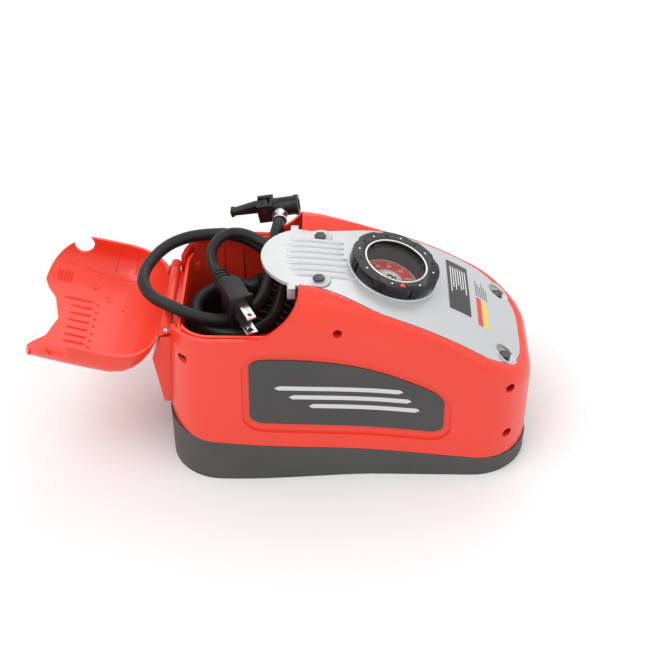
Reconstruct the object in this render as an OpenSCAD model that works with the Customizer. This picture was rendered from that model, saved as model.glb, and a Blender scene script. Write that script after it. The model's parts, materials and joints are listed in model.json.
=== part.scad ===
// Portable mains air inflator with a pressure gauge, a hose and cord bay and a flip-up lid.
// Frame: +X from the cord bay towards the nose, +Y towards the side with the air chuck, +Z up.
// Origin: on the resting face of the base, near its middle. All lengths in millimetres.

/* [Body] */
// Length of the cord bay, from the partition to the rear wall at the rim
bay_l = 95.5; // [92:1:115]
// Length of the machine room, from the partition to the nose
room_l = 153; // [150:1:185]
// Width of the body across its rear bulge, at the seam
rear_w = 146; // [140:1:175]
// Width of the body in front of the waist, at the seam
front_w = 132; // [126:1:160]
// Height of the cord bay's rim above the floor
rim_z = 117.5; // [112:0.5:125]
// Height of the wing tips on both sides of the tongue
wing_z = 148.7; // [147:0.1:156]
// Wall thickness of the two red housing halves
wall_t = 3; // [2.5:0.1:3.6]
// Lean of the side walls, in degrees
wall_lean = 8.1; // [6:0.1:10]
// Height of the seam between base and housing, at the origin
seam_z = 27.2; // [24:0.1:32]
// Fall of the seam towards the nose, in degrees
seam_tilt = 6; // [4:0.5:7]

/* [Base] */
// Wall thickness of the base tray
tray_t = 3; // [2.4:0.1:3.6]
// Floor thickness of the base tray
tray_floor = 3; // [2.4:0.1:4]
// Diameter of the rubber feet
foot_d = 16; // [12:1:20]

/* [Top cover] */
// Radius of the cover's long arc
top_r = 250; // [245:1:300]
// Thickness of the silver top cover
cover_t = 2.6; // [2:0.1:3.2]
// Radius of the tongue that reaches over the cord bay
tongue_r = 32; // [28:1:34]
// Width across the flats of the four cover screws
hex_af = 7; // [6:0.1:8]

/* [Gauge] */
// Outer diameter of the pressure ring
ring_d = 61.8; // [58:0.2:68]
// Height of the pressure ring
ring_h = 8; // [6:0.5:9]
// Outer diameter of the gauge cup
cup_d = 44; // [40:0.5:46]
// Depth of the gauge cup
cup_h = 30; // [26:1:34]

/* [Lid] */
// Wall thickness of the lid
lid_t = 2.2; // [1.8:0.1:2.8]
// Height of the closed lid above the rim
lid_rise = 30.5; // [28:0.5:32]
// Opening angle of the lid, in degrees
lid_open = 165; // [120:1:170]
// Diameter of the hinge pin
hinge_pin_d = 3; // [2.5:0.1:4]

/* [Machine] */
// Diameter of the motor can
motor_d = 40; // [36:1:42]
// Length of the motor can
motor_l = 40; // [36:1:42]
// Teeth of the motor pinion
pinion_teeth = 12; // [11:1:14]
// Teeth of the crank gear
gear_teeth = 54; // [50:1:56]
// Crank radius, half of the piston's stroke
crank_r = 8; // [6:0.5:9]
// Cylinder bore
bore_d = 26; // [22:1:28]
// Length of the connecting rod between its pins
rod_l = 40; // [36:1:42]

/* [Hose and cord] */
// Diameter of the air hose
hose_d = 8.5; // [7:0.5:9]
// Diameter of the power cord
cord_d = 7.5; // [6:0.5:8]
// Radius of the stowed coil at the middle of its turns
coil_r = 39; // [36:0.5:39]

/* [Hidden] */
$fn = 64;
RED = [0.86, 0.22, 0.16];
SILVER = [0.82, 0.82, 0.83];
GREY = [0.25, 0.25, 0.26];
BLACK = [0.07, 0.07, 0.08];
STEEL = [0.7, 0.7, 0.72];

gap = 0.3;             // clearance between curved faces of different pieces
split_gap = 0.1;       // half of the joint between the housing halves

// ---- places along the body
part_x = -20;                     // partition between cord bay and machine room
rear_x = part_x - bay_l;          // rear wall at the rim
nose_x = part_x + room_l;         // foremost point of the nose
rear_corner_r = 30;               // plan radius of the rear corners
nose_corner_r = 40;               // plan radius of the nose corners
edge_corner_r = 34;               // plan radius of the top opening's nose corners
rear_flare = 4;                   // the rear wall stands this far out at the seam
nose_in = 7.5;                    // the top opening ends this far behind the nose
tail_w = 75;                      // width of the hinge tail
tail_out = 14;                    // the tail's crest stands this far behind the rear wall
waist_x = part_x + 55;            // the side is narrow in front of here
waist_l = 110;                    // and reaches the rear bulge over this length
wing_x = part_x - 8;              // rear end of the wings
slope_l = 26;                     // the rim climbs to the wing tips over this length
top_x = part_x - 25;              // highest point of the cover's arc
top_z = 143.6;
crown = 0.0015;                   // fall of the opening's edge across the body
shoulder_h = 24;                  // height of the rounded shoulder
wing_y = 37.4;                    // half width between the wing crests

function smooth(t) = let (c = min(1, max(0, t))) c * c * (3 - 2 * c);
function lerp(a, b, t) = a + (b - a) * t;
function seam(x) = seam_z - tan(seam_tilt) * x;
function side(x) = front_w / 2 + (rear_w - front_w) / 2 * smooth((waist_x - x) / waist_l);
function wall_y(x, z) = side(x) - tan(wall_lean) * (z - seam(x));
function arc_z(x) = top_z - top_r + sqrt(top_r * top_r - (x - top_x) * (x - top_x));
opening_w = wall_y(nose_x - 45, arc_z(nose_x - 45)) - 4;
// half width of the wing crest, which runs out into the edge of the opening
function crest_y(x) = lerp(wing_y, opening_w, smooth((x - wing_x) / (nose_x - 50 - wing_x)) * 0.35
    + 0.65 * smooth((x - wing_x + 20) / 90));
function crest_z(x) = let (edge = arc_z(x) - crown * pow(crest_y(x), 2))
    edge + (wing_z - arc_z(wing_x) + crown * wing_y * wing_y) * (1 - smooth((x - wing_x) / 62));
function rim(x) = let (t = min(1, max(0, (x - wing_x + slope_l) / slope_l)))
    rim_z + (wing_z - rim_z) * (1 - pow(1 - pow(t, 1.3), 0.6));

function foot_y(x) = min(crest_y(x) - 0.4, lerp(30.5, crest_y(x), smooth((x - wing_x + 4) / 64)));

// ---- one half of the housing: rings of points along its outline, from the seam upwards
n_up = 8;                         // levels above the seam, then one more at the foot of the edge
cor_x = rear_x + rear_corner_r;
nose_c = nose_x - nose_corner_r;
edge_c = nose_x - nose_in - edge_corner_r;
tail_side = tail_w / 2 + gap;
rear_y = wall_y(cor_x, rim_z) - rear_corner_r;
rear_a0 = asin(max(0.05, (tail_side - rear_y) / rear_corner_r));
function level_z(k, foot, sh, top) = k < 3 ? lerp(foot, sh, k / 2) : sh + (top - sh) * sin(90 * (k - 2) / (n_up - 2));
function skin_y(x, z) = let (xx = max(x, wing_x), zc = crest_z(xx), f = min(1, (z - zc + shoulder_h) / shoulder_h))
    f <= 0 ? wall_y(x, z)
    : lerp(wall_y(x, zc - shoulder_h), crest_y(xx), 1 - sqrt(1 - f * f));
function rear_ring(a, o) = let (zt = rim_z - 7 * pow(1 - sin(a), 1.5))
    [for (k = [0:n_up + 1]) let (z = lerp(seam(cor_x - rear_corner_r * cos(a)), zt, min(1, k / n_up)),
        f = (rim_z - z) / (rim_z - seam(rear_x)), r = rear_corner_r - o + (k <= n_up ? 0 : o > 0 ? 0.4 : -0.4))
        [cor_x - (r + f * rear_flare) * cos(a), rear_y + r * sin(a) + (wall_y(cor_x, z) - wall_y(cor_x, rim_z)) * smooth(a / 80), z]];
function side_ring(x, o) = let (low = x < wing_x, zt = low ? rim(x) : crest_z(x), zs = min(zt - 4, crest_z(max(x, wing_x)) - shoulder_h))
    concat([for (k = [0:n_up]) let (z = level_z(k, seam(x), zs, zt), f = low ? 0 : smooth((k - 2) / (n_up - 2)))
            [x, skin_y(x, z) - o * (1 - f), z - o * f]],
        [low ? [x, skin_y(x, zt) - (o > 0 ? o - 0.4 : 0.4), zt]
            : [x, foot_y(x), arc_z(x) - crown * pow(foot_y(x), 2) - o]]);
function nose_ring(a, o, flat = 0) = let (y_c = wall_y(nose_c, rim_z / 2) - nose_corner_r,
    e_c = crest_y(edge_c) - edge_corner_r, xe = edge_c + edge_corner_r * sin(a), ye = e_c + edge_corner_r * cos(a),
    zt = arc_z(xe) - crown * ye * ye, zs = zt - 14)
    concat([for (k = [0:n_up]) let (f = k < 3 ? 0 : 1 - cos(90 * (k - 2) / (n_up - 2)), g = smooth((k - 2) / (n_up - 2)),
            z = level_z(k, seam(nose_c + nose_corner_r * sin(a)), zs, zt),
            r = nose_corner_r - o * (1 - g), wx = nose_c + r * sin(a),
            wy = y_c + r * cos(a) + (wall_y(nose_c, min(z, zs)) - wall_y(nose_c, rim_z / 2)) * cos(a))
            [lerp(wx, xe, f), flat > 0 ? split_gap : lerp(wy, ye, f), z - o * g]],
        [[xe - 0.4 * sin(a), flat > 0 ? split_gap : ye - 0.4 * cos(a), zt - o]]);
function half_rings(o) = concat(
    [for (i = [0:6]) rear_ring(lerp(rear_a0, 88, i / 6), o)],
    [for (i = [0:2]) side_ring(lerp(cor_x + 2, wing_x - slope_l, i / 2), o)],
    [for (i = [1:7]) side_ring(lerp(wing_x - slope_l, wing_x - 0.05, sin(90 * i / 7)), o)],
    [for (i = [0:10]) side_ring(lerp(wing_x, edge_c - 3, i / 10), o)],
    [for (i = [0:7]) nose_ring(lerp(2, 90, i / 7), o)],
    [nose_ring(90, o, 1)]);
// A closed skin between a grid of outer points and a grid of inner points.
module skin(outer, inner) {
    m = len(outer[0]);
    n = len(outer);
    function q(a, b, c, d) = [[a, b, c], [a, c, d]];
    function o_(i, k) = i * m + k;
    function i_(i, k) = n * m + i * m + k;
    faces = concat(
        [for (i = [0:n - 2]) for (k = [0:m - 2]) each q(o_(i, k), o_(i + 1, k), o_(i + 1, k + 1), o_(i, k + 1))],
        [for (i = [0:n - 2]) for (k = [0:m - 2]) each q(i_(i, k), i_(i, k + 1), i_(i + 1, k + 1), i_(i + 1, k))],
        [for (i = [0:n - 2]) each q(o_(i, 0), i_(i, 0), i_(i + 1, 0), o_(i + 1, 0))],
        [for (i = [0:n - 2]) each q(o_(i, m - 1), o_(i + 1, m - 1), i_(i + 1, m - 1), i_(i, m - 1))],
        [for (k = [0:m - 2]) each q(o_(0, k), o_(0, k + 1), i_(0, k + 1), i_(0, k))],
        [for (k = [0:m - 2]) each q(o_(n - 1, k), i_(n - 1, k), i_(n - 1, k + 1), o_(n - 1, k + 1))]);
    polyhedron(concat([for (r = outer) each r], [for (r = inner) each r]), faces, convexity = 10);
}

// ---- label recess on the side walls
label_x0 = part_x - 42;
label_x1 = nose_x - 61.5;
label_r = 8;                      // corner radius of the label
recess_edge = 5;                  // the recess is this much larger than the label
recess_depth = 1.6;
label_t = 0.9;
function round_end(x, a, b, r) = let (d = min(x - a, b - x)) d >= r ? 0 : r - sqrt(max(0, r * r - pow(r - d, 2)));
function label_hi(x, g) = arc_z(x) - 41.3 - 0.05 * (x - label_x0) + g - round_end(x, label_x0 - g, label_x1 + g, label_r + g);
function label_lo(x, g) = seam(x) + 18.5 - 1.4 * g + round_end(x, label_x0 - g, label_x1 + g, label_r + g);
function wall_patch(g, inset) = [for (i = [0:14]) let (x = lerp(label_x0 - g + 0.6, label_x1 + g - 0.6, (1 - cos(180 * i / 14)) / 2))
    [for (k = [0:4]) let (z = lerp(label_lo(x, g), label_hi(x, g), k / 4)) [x, wall_y(x, z) - inset, z]]];
module wall_plate(g, lo, hi) skin(wall_patch(g, hi), wall_patch(g, lo));

// ---- screws that join the halves
rear_screw = [rear_x + 9.7, 98];
wing_screw = [part_x + 17.5, 120];
nose_screws = [[nose_x - 17.5, 70.4], [nose_x - 17, 32.2]];
screw_hole_d = 6.4;
boss_d = 9;
boss_end = 40;
function nose_y(x, z) = x < nose_c ? wall_y(x, z)
    : wall_y(nose_c, z) - nose_corner_r + sqrt(nose_corner_r * nose_corner_r - pow(x - nose_c, 2));
module along_y(x, z, y0, y1, r) translate([x, y0, z]) rotate([-90, 0, 0]) cylinder(r = r, h = y1 - y0);
post_x = nose_x - 37;
post_z = 12.3;
post_y = 44;
post_top = 36;
rear_post = [cor_x - 4, 46];
screw_r = 1.5;
head_z = 2.6;                     // underside of the base screws' heads

module half_shell() skin(half_rings(0), half_rings(wall_t));
module housing(threaded) difference() {
    union() {
        half_shell();
        along_y(wing_screw[0], wing_screw[1], split_gap, skin_y(wing_screw[0], wing_screw[1]) - 1.5, boss_d / 2);
        for (p = nose_screws) along_y(p[0], p[1], split_gap, nose_y(p[0] + boss_d / 2, p[1]) - 1.5, boss_d / 2);
        translate([post_x, post_y, post_z]) cylinder(d = boss_d, h = post_top - post_z);
        translate([post_x - 1.5, post_y, seam(post_x) + 3])
            cube([3, wall_y(post_x, post_top) - post_y - 1.2, post_top - seam(post_x) - 3]);
        translate([cover_nose_x, cover_nose_y, nose_screws[0][1]]) cylinder(d = boss_d, h = nose_boss_top - nose_screws[0][1]);
    }
    wall_plate(recess_edge, recess_depth, -6);
    translate([post_x, post_y, post_z - 1]) cylinder(r = screw_r, h = 19);
    translate([cover_nose_x, cover_nose_y, nose_boss_top - 14]) cylinder(r = screw_r, h = 20);
    for (p = concat([wing_screw], nose_screws)) {
        along_y(p[0], p[1], -1, threaded ? 17 : 100, threaded ? screw_r : screw_r + 0.3);
        if (!threaded) along_y(p[0], p[1], head_y, 100, screw_hole_d / 2);
    }
    along_y(rear_screw[0], rear_screw[1], 40, 100, screw_hole_d / 2);
}
head_y = 24;                      // the joining screws' heads sit at this distance from the middle
module on_far_wall(x, z) translate([x, wall_y(x, z), z]) rotate([wall_lean - 90, 0, 0]) children();
module housing_far() color(RED) difference() {
    housing(true);
    on_far_wall(switch_x, switch_z) translate([-switch_w / 2, -switch_h / 2, -8]) cube([switch_w, switch_h, 16]);
}
module housing_near() color(RED) mirror([0, 1, 0]) housing(false);
module housing_screws() color(STEEL) {
    for (p = concat([wing_screw], nose_screws)) {
        along_y(p[0], p[1], -head_y, 16, screw_r);
        difference() {
            along_y(p[0], p[1], -head_y - 2, -head_y, 2.8);
            along_y(p[0], p[1], -head_y - 3, -head_y - 0.9, 1, $fn = 6);
        }
    }
    for (m = [-1, 1]) {
        along_y(rear_screw[0], rear_screw[1], m > 0 ? 43.6 : -rear_head_y, m > 0 ? rear_head_y : -43.6, screw_r);
        along_y(rear_screw[0], rear_screw[1], m > 0 ? rear_head_y : -rear_head_y - 2, m > 0 ? rear_head_y + 2 : -rear_head_y, 2.8);
    }
}
rear_head_y = 48.5;

// ---- base
rear_base_r = 37;
base_rear_x = rear_x - rear_flare;
function mirrored(p) = concat(p, [for (i = [len(p) - 1:-1:0]) [p[i][0], -p[i][1]]]);
function base_side(o) = let (xr = base_rear_x + rear_base_r, yr = side(xr) - rear_base_r,
    yn = front_w / 2 - nose_corner_r)
    concat([for (a = [0:7.5:90]) [xr - (rear_base_r - o) * cos(a), yr + (rear_base_r - o) * sin(a)]],
        [for (i = [1:9]) let (x = lerp(xr, waist_x, i / 10)) [x, side(x) - o]],
        [for (a = [90:-7.5:0]) [nose_c + (nose_corner_r - o) * cos(a), yn + (nose_corner_r - o) * sin(a)]]);
feet = [[-66, 56], [-66, -56], [80, 50], [80, -50]];
foot_t = 1.6;
base_posts = [[rear_post[0], rear_post[1]], [rear_post[0], -rear_post[1]], [post_x, post_y], [post_x, -post_y]];
counterbore = 8;                  // depth of the base screws' counterbores
module base_tray() color(GREY) difference() {
    union() {
        difference() {
            linear_extrude(50) polygon(mirrored(base_side(0)));
            translate([0, 0, tray_floor]) linear_extrude(60) polygon(mirrored(base_side(tray_t)));
        }
        for (p = base_posts) translate([p[0], p[1], 1]) cylinder(r = 5.6, h = post_z - gap - 1);
        for (x = [-40, 20]) translate([x, -60, 1]) cube([2, 120, tray_floor + 5]);
    }
    translate([0, 0, seam_z - gap]) rotate([0, seam_tilt, 0]) translate([-200, -100, 0]) cube([400, 200, 60]);
    for (p = base_posts) {
        translate([p[0], p[1], -1]) cylinder(r = screw_r + 0.3, h = 40);
        translate([p[0], p[1], -1]) cylinder(r = 3.4, h = counterbore + 1);
    }
    for (p = feet) translate([p[0], p[1], -1]) cylinder(d = foot_d, h = foot_t + 1);
    for (i = [0:8]) translate([38 + i * 7, -22, -1]) cube([3, 44, 10]);
}
module rubber_feet() color(BLACK) for (p = feet) translate([p[0], p[1], 0]) cylinder(d = foot_d, h = foot_t);
module base_screws() color(STEEL) for (p = base_posts) difference() {
    union() {
        translate([p[0], p[1], counterbore - 2.2]) cylinder(r = 2.9, h = 2.2);
        translate([p[0], p[1], counterbore - 0.1]) cylinder(r = screw_r, h = 18);
    }
    translate([p[0], p[1], counterbore - 3]) cylinder(r = 1.1, h = 2, $fn = 6);
}

// ---- hinge tail
hinge_x = rear_x - 3.1;
hinge_z = rim_z - 11;
knuckle_r = 3.4;
lug_y0 = 30;                      // lid lugs reach from here
lug_y1 = 37;                      // to here
tail_in = rear_x + 3.2;
module hinge_tail() color(RED) difference() {
    union() {
        translate([0, tail_w / 2, 0]) rotate([90, 0, 0]) linear_extrude(tail_w)
            polygon([[tail_in, seam(rear_x) + 1.6], [rear_x - 8.5, seam(rear_x) + 1.6], [rear_x - tail_out, 81],
                [rear_x - 6.7, hinge_z - 5.5], [hinge_x - 2.4, hinge_z - 3], [tail_in, hinge_z - 2.5]]);
        along_y(hinge_x, hinge_z, -lug_y0 + gap, lug_y0 - gap, knuckle_r);
    }
    translate([0, tail_w / 2 - 3, 0]) rotate([90, 0, 0]) linear_extrude(tail_w - 6)
        polygon([[tail_in - 2.5, 38], [rear_x - 5.2, 38], [rear_x - tail_out + 3.4, 81], [hinge_x - 1.5, hinge_z - 8],
            [tail_in - 2.5, hinge_z - 8]]);
    for (m = [-1, 1]) translate([rear_x - 20, m > 0 ? lug_y0 - gap : -tail_w / 2 - 1, hinge_z - 6.3])
        cube([40, tail_w / 2 + 1 - lug_y0 + gap, 20]);
    along_y(hinge_x, hinge_z, -50, 50, hinge_pin_d / 2);
}
module hinge_pin() color(STEEL) along_y(hinge_x, hinge_z, -lug_y1, lug_y1, hinge_pin_d / 2);

// ---- tub for the cord
tub_r = 24;
tub_rear = rear_x + 4.5;
tub_t = 2.1;
tub_z = 42;                       // inner floor
function tub_y(x) = min(56.6, wall_y(x, rim_z) - wall_t - 0.6);
function tub_side(o) = concat([for (a = [0:7.5:90]) [tub_rear + tub_r - (tub_r - o) * cos(a), 56.6 - tub_r + (tub_r - o) * sin(a)]],
    [for (i = [1:6]) let (x = lerp(tub_rear + tub_r, part_x, i / 6)) [x - (i == 6 ? (o > 0 ? 2 : 0) : 0), tub_y(x) - o]]);
module along_x(x0, x1, y, z, r) translate([x0, y, z]) rotate([0, 90, 0]) cylinder(r = r, h = x1 - x0);
module cord_tub() color(RED) difference() {
    union() {
        difference() {
            translate([0, 0, tub_z - 2]) linear_extrude(rim_z - gap - tub_z + 2) polygon(mirrored(tub_side(0)));
            translate([0, 0, tub_z]) linear_extrude(120) polygon(mirrored(tub_side(tub_t)));
            translate([rear_x - 5, -60, rim_z - 7.4]) cube([14, 120, 20]);
        }
        translate([part_x - 2, -24, rim_z - 4]) cube([2, 48, cover_post_top - rim_z + 4]);
        for (m = [-1, 1]) {
            translate([cover_rear_x, m * cover_rear_y, 112]) cylinder(d = boss_d, h = cover_post_top - 112);
            translate([part_x - 1, m * cover_rear_y - 1.5, 112]) cube([4, 3, cover_post_top - 112]);
            translate([rear_post[0], m * rear_post[1], post_z]) cylinder(d = boss_d, h = tub_z - 1 - post_z);
            along_y(rear_screw[0], rear_screw[1], m > 0 ? 42.5 : -rear_head_y, m > 0 ? rear_head_y : -42.5, 3.3);
            for (x = [-88, -74, -46, -34]) translate([x, m > 0 ? tub_y(x) - tub_t - 1.2 : 1 + tub_t - tub_y(x) - 0.8, tub_z - 1])
                cube([2, 1, 66]);
        }
    }
    for (m = [-1, 1]) {
        translate([cover_rear_x, m * cover_rear_y, cover_post_top - 14]) cylinder(r = screw_r, h = 20);
        translate([rear_post[0], m * rear_post[1], post_z - 1]) cylinder(r = screw_r, h = 19);
        along_y(rear_screw[0], rear_screw[1], m > 0 ? 43.5 : -60, m > 0 ? 60 : -43.5, screw_r);
    }
    along_x(part_x - 5, part_x + 5, hose_y, hose_z, 6);
    along_x(part_x - 5, part_x + 5, cord_y, cord_z, cord_d / 2 + 1.1);
}

// ---- silver top cover
cover_rear_x = part_x + 4.7;
cover_rear_y = 23.5;
cover_nose_x = nose_x - 21;
cover_nose_y = 33.2;
function cover_z(x, y) = arc_z(x) - crown * y * y;
cover_post_top = cover_z(cover_rear_x, cover_rear_y) - cover_t - 0.4;
nose_boss_top = cover_z(cover_nose_x + 4, cover_nose_y + 4) - cover_t - 0.4;
tongue_x = part_x - 3 - tongue_r;
cover_end = nose_x - nose_in - 0.7;
function nose_edge(x) = let (r = edge_corner_r - 0.7) crest_y(edge_c) - edge_corner_r
    + (x > edge_c ? sqrt(max(0, r * r - pow(x - edge_c, 2))) : r);
function cover_y(x) = x < tongue_x + tongue_r ? max(2, sqrt(max(0, tongue_r * tongue_r - pow(x - tongue_x - tongue_r, 2))))
    : x > edge_c ? nose_edge(x) : min(foot_y(x) - 0.7, lerp(tongue_r, foot_y(x), (x - tongue_x - tongue_r) / 6));
function cover_x(i) = i < 9 ? tongue_x + tongue_r * (1 - cos(90 * i / 9))
    : i < 27 ? lerp(tongue_x + tongue_r, edge_c, (i - 9) / 18) : edge_c + (edge_corner_r - 0.7) * sin(90 * (i - 27) / 7);
module cover_sheet(t0, t1) skin(
    [for (i = [0:34]) let (x = cover_x(i)) [for (k = [-4:4]) let (y = cover_y(x) * k / 4) [x, y, cover_z(x, y) - t1]]],
    [for (i = [0:34]) let (x = cover_x(i)) [for (k = [-4:4]) let (y = cover_y(x) * k / 4) [x, y, cover_z(x, y) - t0]]]);
module at_gauge() translate([part_x + 56.9, 0, arc_z(part_x + 56.9) + 9.5]) rotate([0, 16.1, 0]) children();
module top_cover() color(SILVER) difference() {
    union() {
        cover_sheet(0, cover_t);
        at_gauge() translate([0, 0, -ring_h - 6]) cylinder(d = ring_d + 0.8, h = 5.7);
    }
    at_gauge() translate([0, 0, -60]) cylinder(d = cup_d + 2 * gap, h = 80);
    for (m = [-1, 1]) {
        translate([cover_rear_x, m * cover_rear_y, 100]) cylinder(r = screw_r + 0.3, h = 60);
        translate([cover_rear_x, m * cover_rear_y, cover_z(cover_rear_x, cover_rear_y) - 1.3]) cylinder(d = hex_af * 1.25, h = 9);
        translate([cover_nose_x, m * cover_nose_y, 60]) cylinder(r = screw_r + 0.3, h = 60);
        translate([cover_nose_x, m * cover_nose_y, nose_boss_top + 1.8]) cylinder(d = hex_af * 1.9, h = 30);
    }
}
module cover_screws() color(GREY) for (m = [-1, 1]) {
    translate([cover_rear_x, m * cover_rear_y, cover_z(cover_rear_x, cover_rear_y) - 1.3]) cylinder(d = hex_af / cos(30), h = 3, $fn = 6);
    translate([cover_rear_x, m * cover_rear_y, cover_post_top - 10]) cylinder(r = screw_r, h = 12);
    translate([cover_nose_x, m * cover_nose_y, nose_boss_top + 1.8]) cylinder(d = hex_af / cos(30), h = 4, $fn = 6);
    translate([cover_nose_x, m * cover_nose_y, nose_boss_top - 10]) cylinder(r = screw_r, h = 12);
}
module label_far() color(GREY) wall_plate(0, recess_depth - 0.06, recess_depth - 0.06 - label_t);
module label_near() mirror([0, 1, 0]) label_far();
info_x0 = nose_x - 59;
info_x1 = nose_x - 44;
module info_label() color(GREY) skin(
    [for (i = [0:3]) let (x = lerp(info_x0, info_x1, i / 3)) [for (k = [0:4]) let (y = lerp(-17, 38, k / 4)) [x, y, cover_z(x, y) + 0.07]]],
    [for (i = [0:3]) let (x = lerp(info_x0, info_x1, i / 3)) [for (k = [0:4]) let (y = lerp(-17, 38, k / 4)) [x, y, cover_z(x, y) + 0.5]]]);

// ---- gauge, drawn in its own tilted frame
cup_wall = 1.6;
dial_z = -17;
module tube_ring(r1, r0, z0, z1) difference() {
    translate([0, 0, z0]) cylinder(r = r1, h = z1 - z0);
    translate([0, 0, z0 - 1]) cylinder(r = r0, h = z1 - z0 + 2);
}
module gauge_cup() color(BLACK) at_gauge() {
    tube_ring(cup_d / 2, cup_d / 2 - cup_wall, -cup_h, 0);
    tube_ring(cup_d / 2, 2.5, -cup_h, -cup_h + 2);
}
module gauge_movement() color(STEEL) at_gauge() {
    translate([0, 0, -cup_h + 2]) cylinder(r = 15, h = cup_h + dial_z - 3);
    translate([0, 0, -cup_h - 14]) cylinder(r = 2.5, h = 16.1);
    translate([0, 0, dial_z - 2]) cylinder(r = 0.8, h = 4);
}
module gauge_dial() color(SILVER) at_gauge() tube_ring(cup_d / 2 - cup_wall, 1.3, dial_z - 1, dial_z);
module gauge_needle() color(BLACK) at_gauge() difference() {
    union() {
        translate([0, 0, dial_z + 0.6]) cylinder(r = 2.4, h = 1.6);
        rotate([0, 0, 200]) translate([-5, -0.6, dial_z + 0.8]) cube([19, 1.2, 0.8]);
    }
    translate([0, 0, dial_z]) cylinder(r = 1.1, h = 3);
}
module gauge_lens() color([0.9, 0.93, 0.95, 0.5]) at_gauge() translate([0, 0, -3.5]) cylinder(r = cup_d / 2 - cup_wall, h = 2);
module pressure_ring() color(BLACK) at_gauge() difference() {
    tube_ring(ring_d / 2, cup_d / 2 + 0.9, -ring_h, 0);
    for (k = [0:7]) rotate([0, 0, 22.5 + 45 * k]) translate([ring_d / 2 + 9.2, 0, -ring_h + 1.2]) cylinder(r = 10.5, h = ring_h);
}
module ring_pointer() color(RED) at_gauge() rotate([0, 0, 277.5])
    linear_extrude(0.5) polygon([[cup_d / 2 + 1.6, 0], [cup_d / 2 + 6, -2.2], [cup_d / 2 + 6, 2.2]]);

// ---- soft tubes: one ring of eight points at every point of the route
function unit(v) = v / norm(v);
function tube_dir(p, i) = unit(p[min(i + 1, len(p) - 1)] - p[max(i - 1, 0)]);
function tube_ring_pts(c, d, r, up) = let (s = unit(cross(d, up)), u = cross(s, d)) [for (k = [0:7]) c + r * (s * cos(45 * k) + u * sin(45 * k))];
module tube(p, d, up = [0, 0, 1]) {
    n = len(p);
    polyhedron([for (i = [0:n - 1]) each tube_ring_pts(p[i], tube_dir(p, i), d / 2, up)],
        concat([[for (k = [0:7]) k]], [[for (k = [7:-1:0]) (n - 1) * 8 + k]],
            [for (i = [0:n - 2]) for (k = [0:7]) each [[i * 8 + k, (i + 1) * 8 + k, i * 8 + (k + 1) % 8],
                [i * 8 + (k + 1) % 8, (i + 1) * 8 + k, (i + 1) * 8 + (k + 1) % 8]]]), convexity = 10);
}
tube_route = [[24.9, 0, 97.6], [23.6, 0, 93], [20, 1, 88.5], [14, 5, 86.5], [6, 12, 87], [-2, 18, 89], [-6, 20, 90], [part_x + 11, 20, 90]];
module gauge_tube() color([0.8, 0.8, 0.7]) tube(tube_route, 4, [0, 1, 0]);

// ---- lid, drawn closed and then swung open
lid_n = 0.65;                     // squareness of its cross-section
lid_gap = 0.4;
lid_back = 28;                    // length of its rounded rear end
lug_z = hinge_z;
function rear_dip(x) = x > cor_x ? 0 : 7 * pow(1 - sqrt(max(0, 1 - pow((cor_x - x) / rear_corner_r, 2))), 1.5);
function lid_side(x, o) = let (c = rear_x + rear_corner_r) (x < c
    ? rear_y + sqrt(max(0, pow(rear_corner_r - o, 2) - pow(min(c - x, rear_corner_r - o), 2))) : wall_y(x, rim_z) - o);
function lid_top(x, o) = lid_rise - o + (x - cor_x) * 0.045;
function lid_h(x, o) = let (d = min(1, max(0, (x - rear_x - o) / lid_back))) sqrt(1 - pow(1 - d, 2.2));
function lid_free(a) = let (y = 59 * pow(sin(abs(a)), lid_n), z = lid_rise * pow(cos(a), lid_n))
    y < 35 ? part_x - 25.5 + 46.3 - sqrt(46.3 * 46.3 - y * y)
    : wing_x - slope_l - 1.3 + slope_l * pow(1 - pow(1 - min(0.98, z / (wing_z - rim_z)), 1 / 0.6), 1 / 1.3);
function lid_point(s, a, o) = let (x0 = rear_x + o, x = x0 + (lid_free(a) - x0) * s)
    [x, (a < 0 ? -1 : 1) * lid_side(x, o) * pow(sin(abs(a)), lid_n), rim_z + lid_gap - rear_dip(x) + lid_h(x, o) * lid_top(x, o) * pow(cos(a), lid_n)];
lid_s = [0, 0.015, 0.045, 0.09, 0.15, 0.23, 0.34, 0.5, 0.66, 0.8, 0.9, 1];
lid_a = [for (k = [-16:16]) (k < 0 ? -1 : 1) * 90 * pow(sin(90 * abs(k) / 16), 0.85)];
module lid() color(RED) translate([hinge_x, 0, hinge_z]) rotate([0, -lid_open, 0]) translate([-hinge_x, 0, -hinge_z]) difference() {
    union() {
        skin([for (s = lid_s) [for (a = lid_a) lid_point(s, a, lid_t)]], [for (s = lid_s) [for (a = lid_a) lid_point(s, a, 0)]]);
        for (m = [-1, 1]) {
            along_y(hinge_x, hinge_z, m > 0 ? lug_y0 : -lug_y1, m > 0 ? lug_y1 : -lug_y0, knuckle_r + 0.2);
            translate([0, m > 0 ? lug_y1 : -lug_y0, 0]) rotate([90, 0, 0]) linear_extrude(lug_y1 - lug_y0)
                polygon([[hinge_x - 0.5, hinge_z + knuckle_r], [hinge_x + 2, hinge_z + 6], [rear_x + 1.5, hinge_z + 7.5],
                    [rear_x + 1.5, hinge_z + 4.4], [hinge_x + 3, hinge_z], [hinge_x, hinge_z]]);
        }
    }
    along_y(hinge_x, hinge_z, -50, 50, hinge_pin_d / 2 + gap);
    along_y(part_x - 31.5, rim_z + 6.5, -90, 90, 7.2);
}

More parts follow.
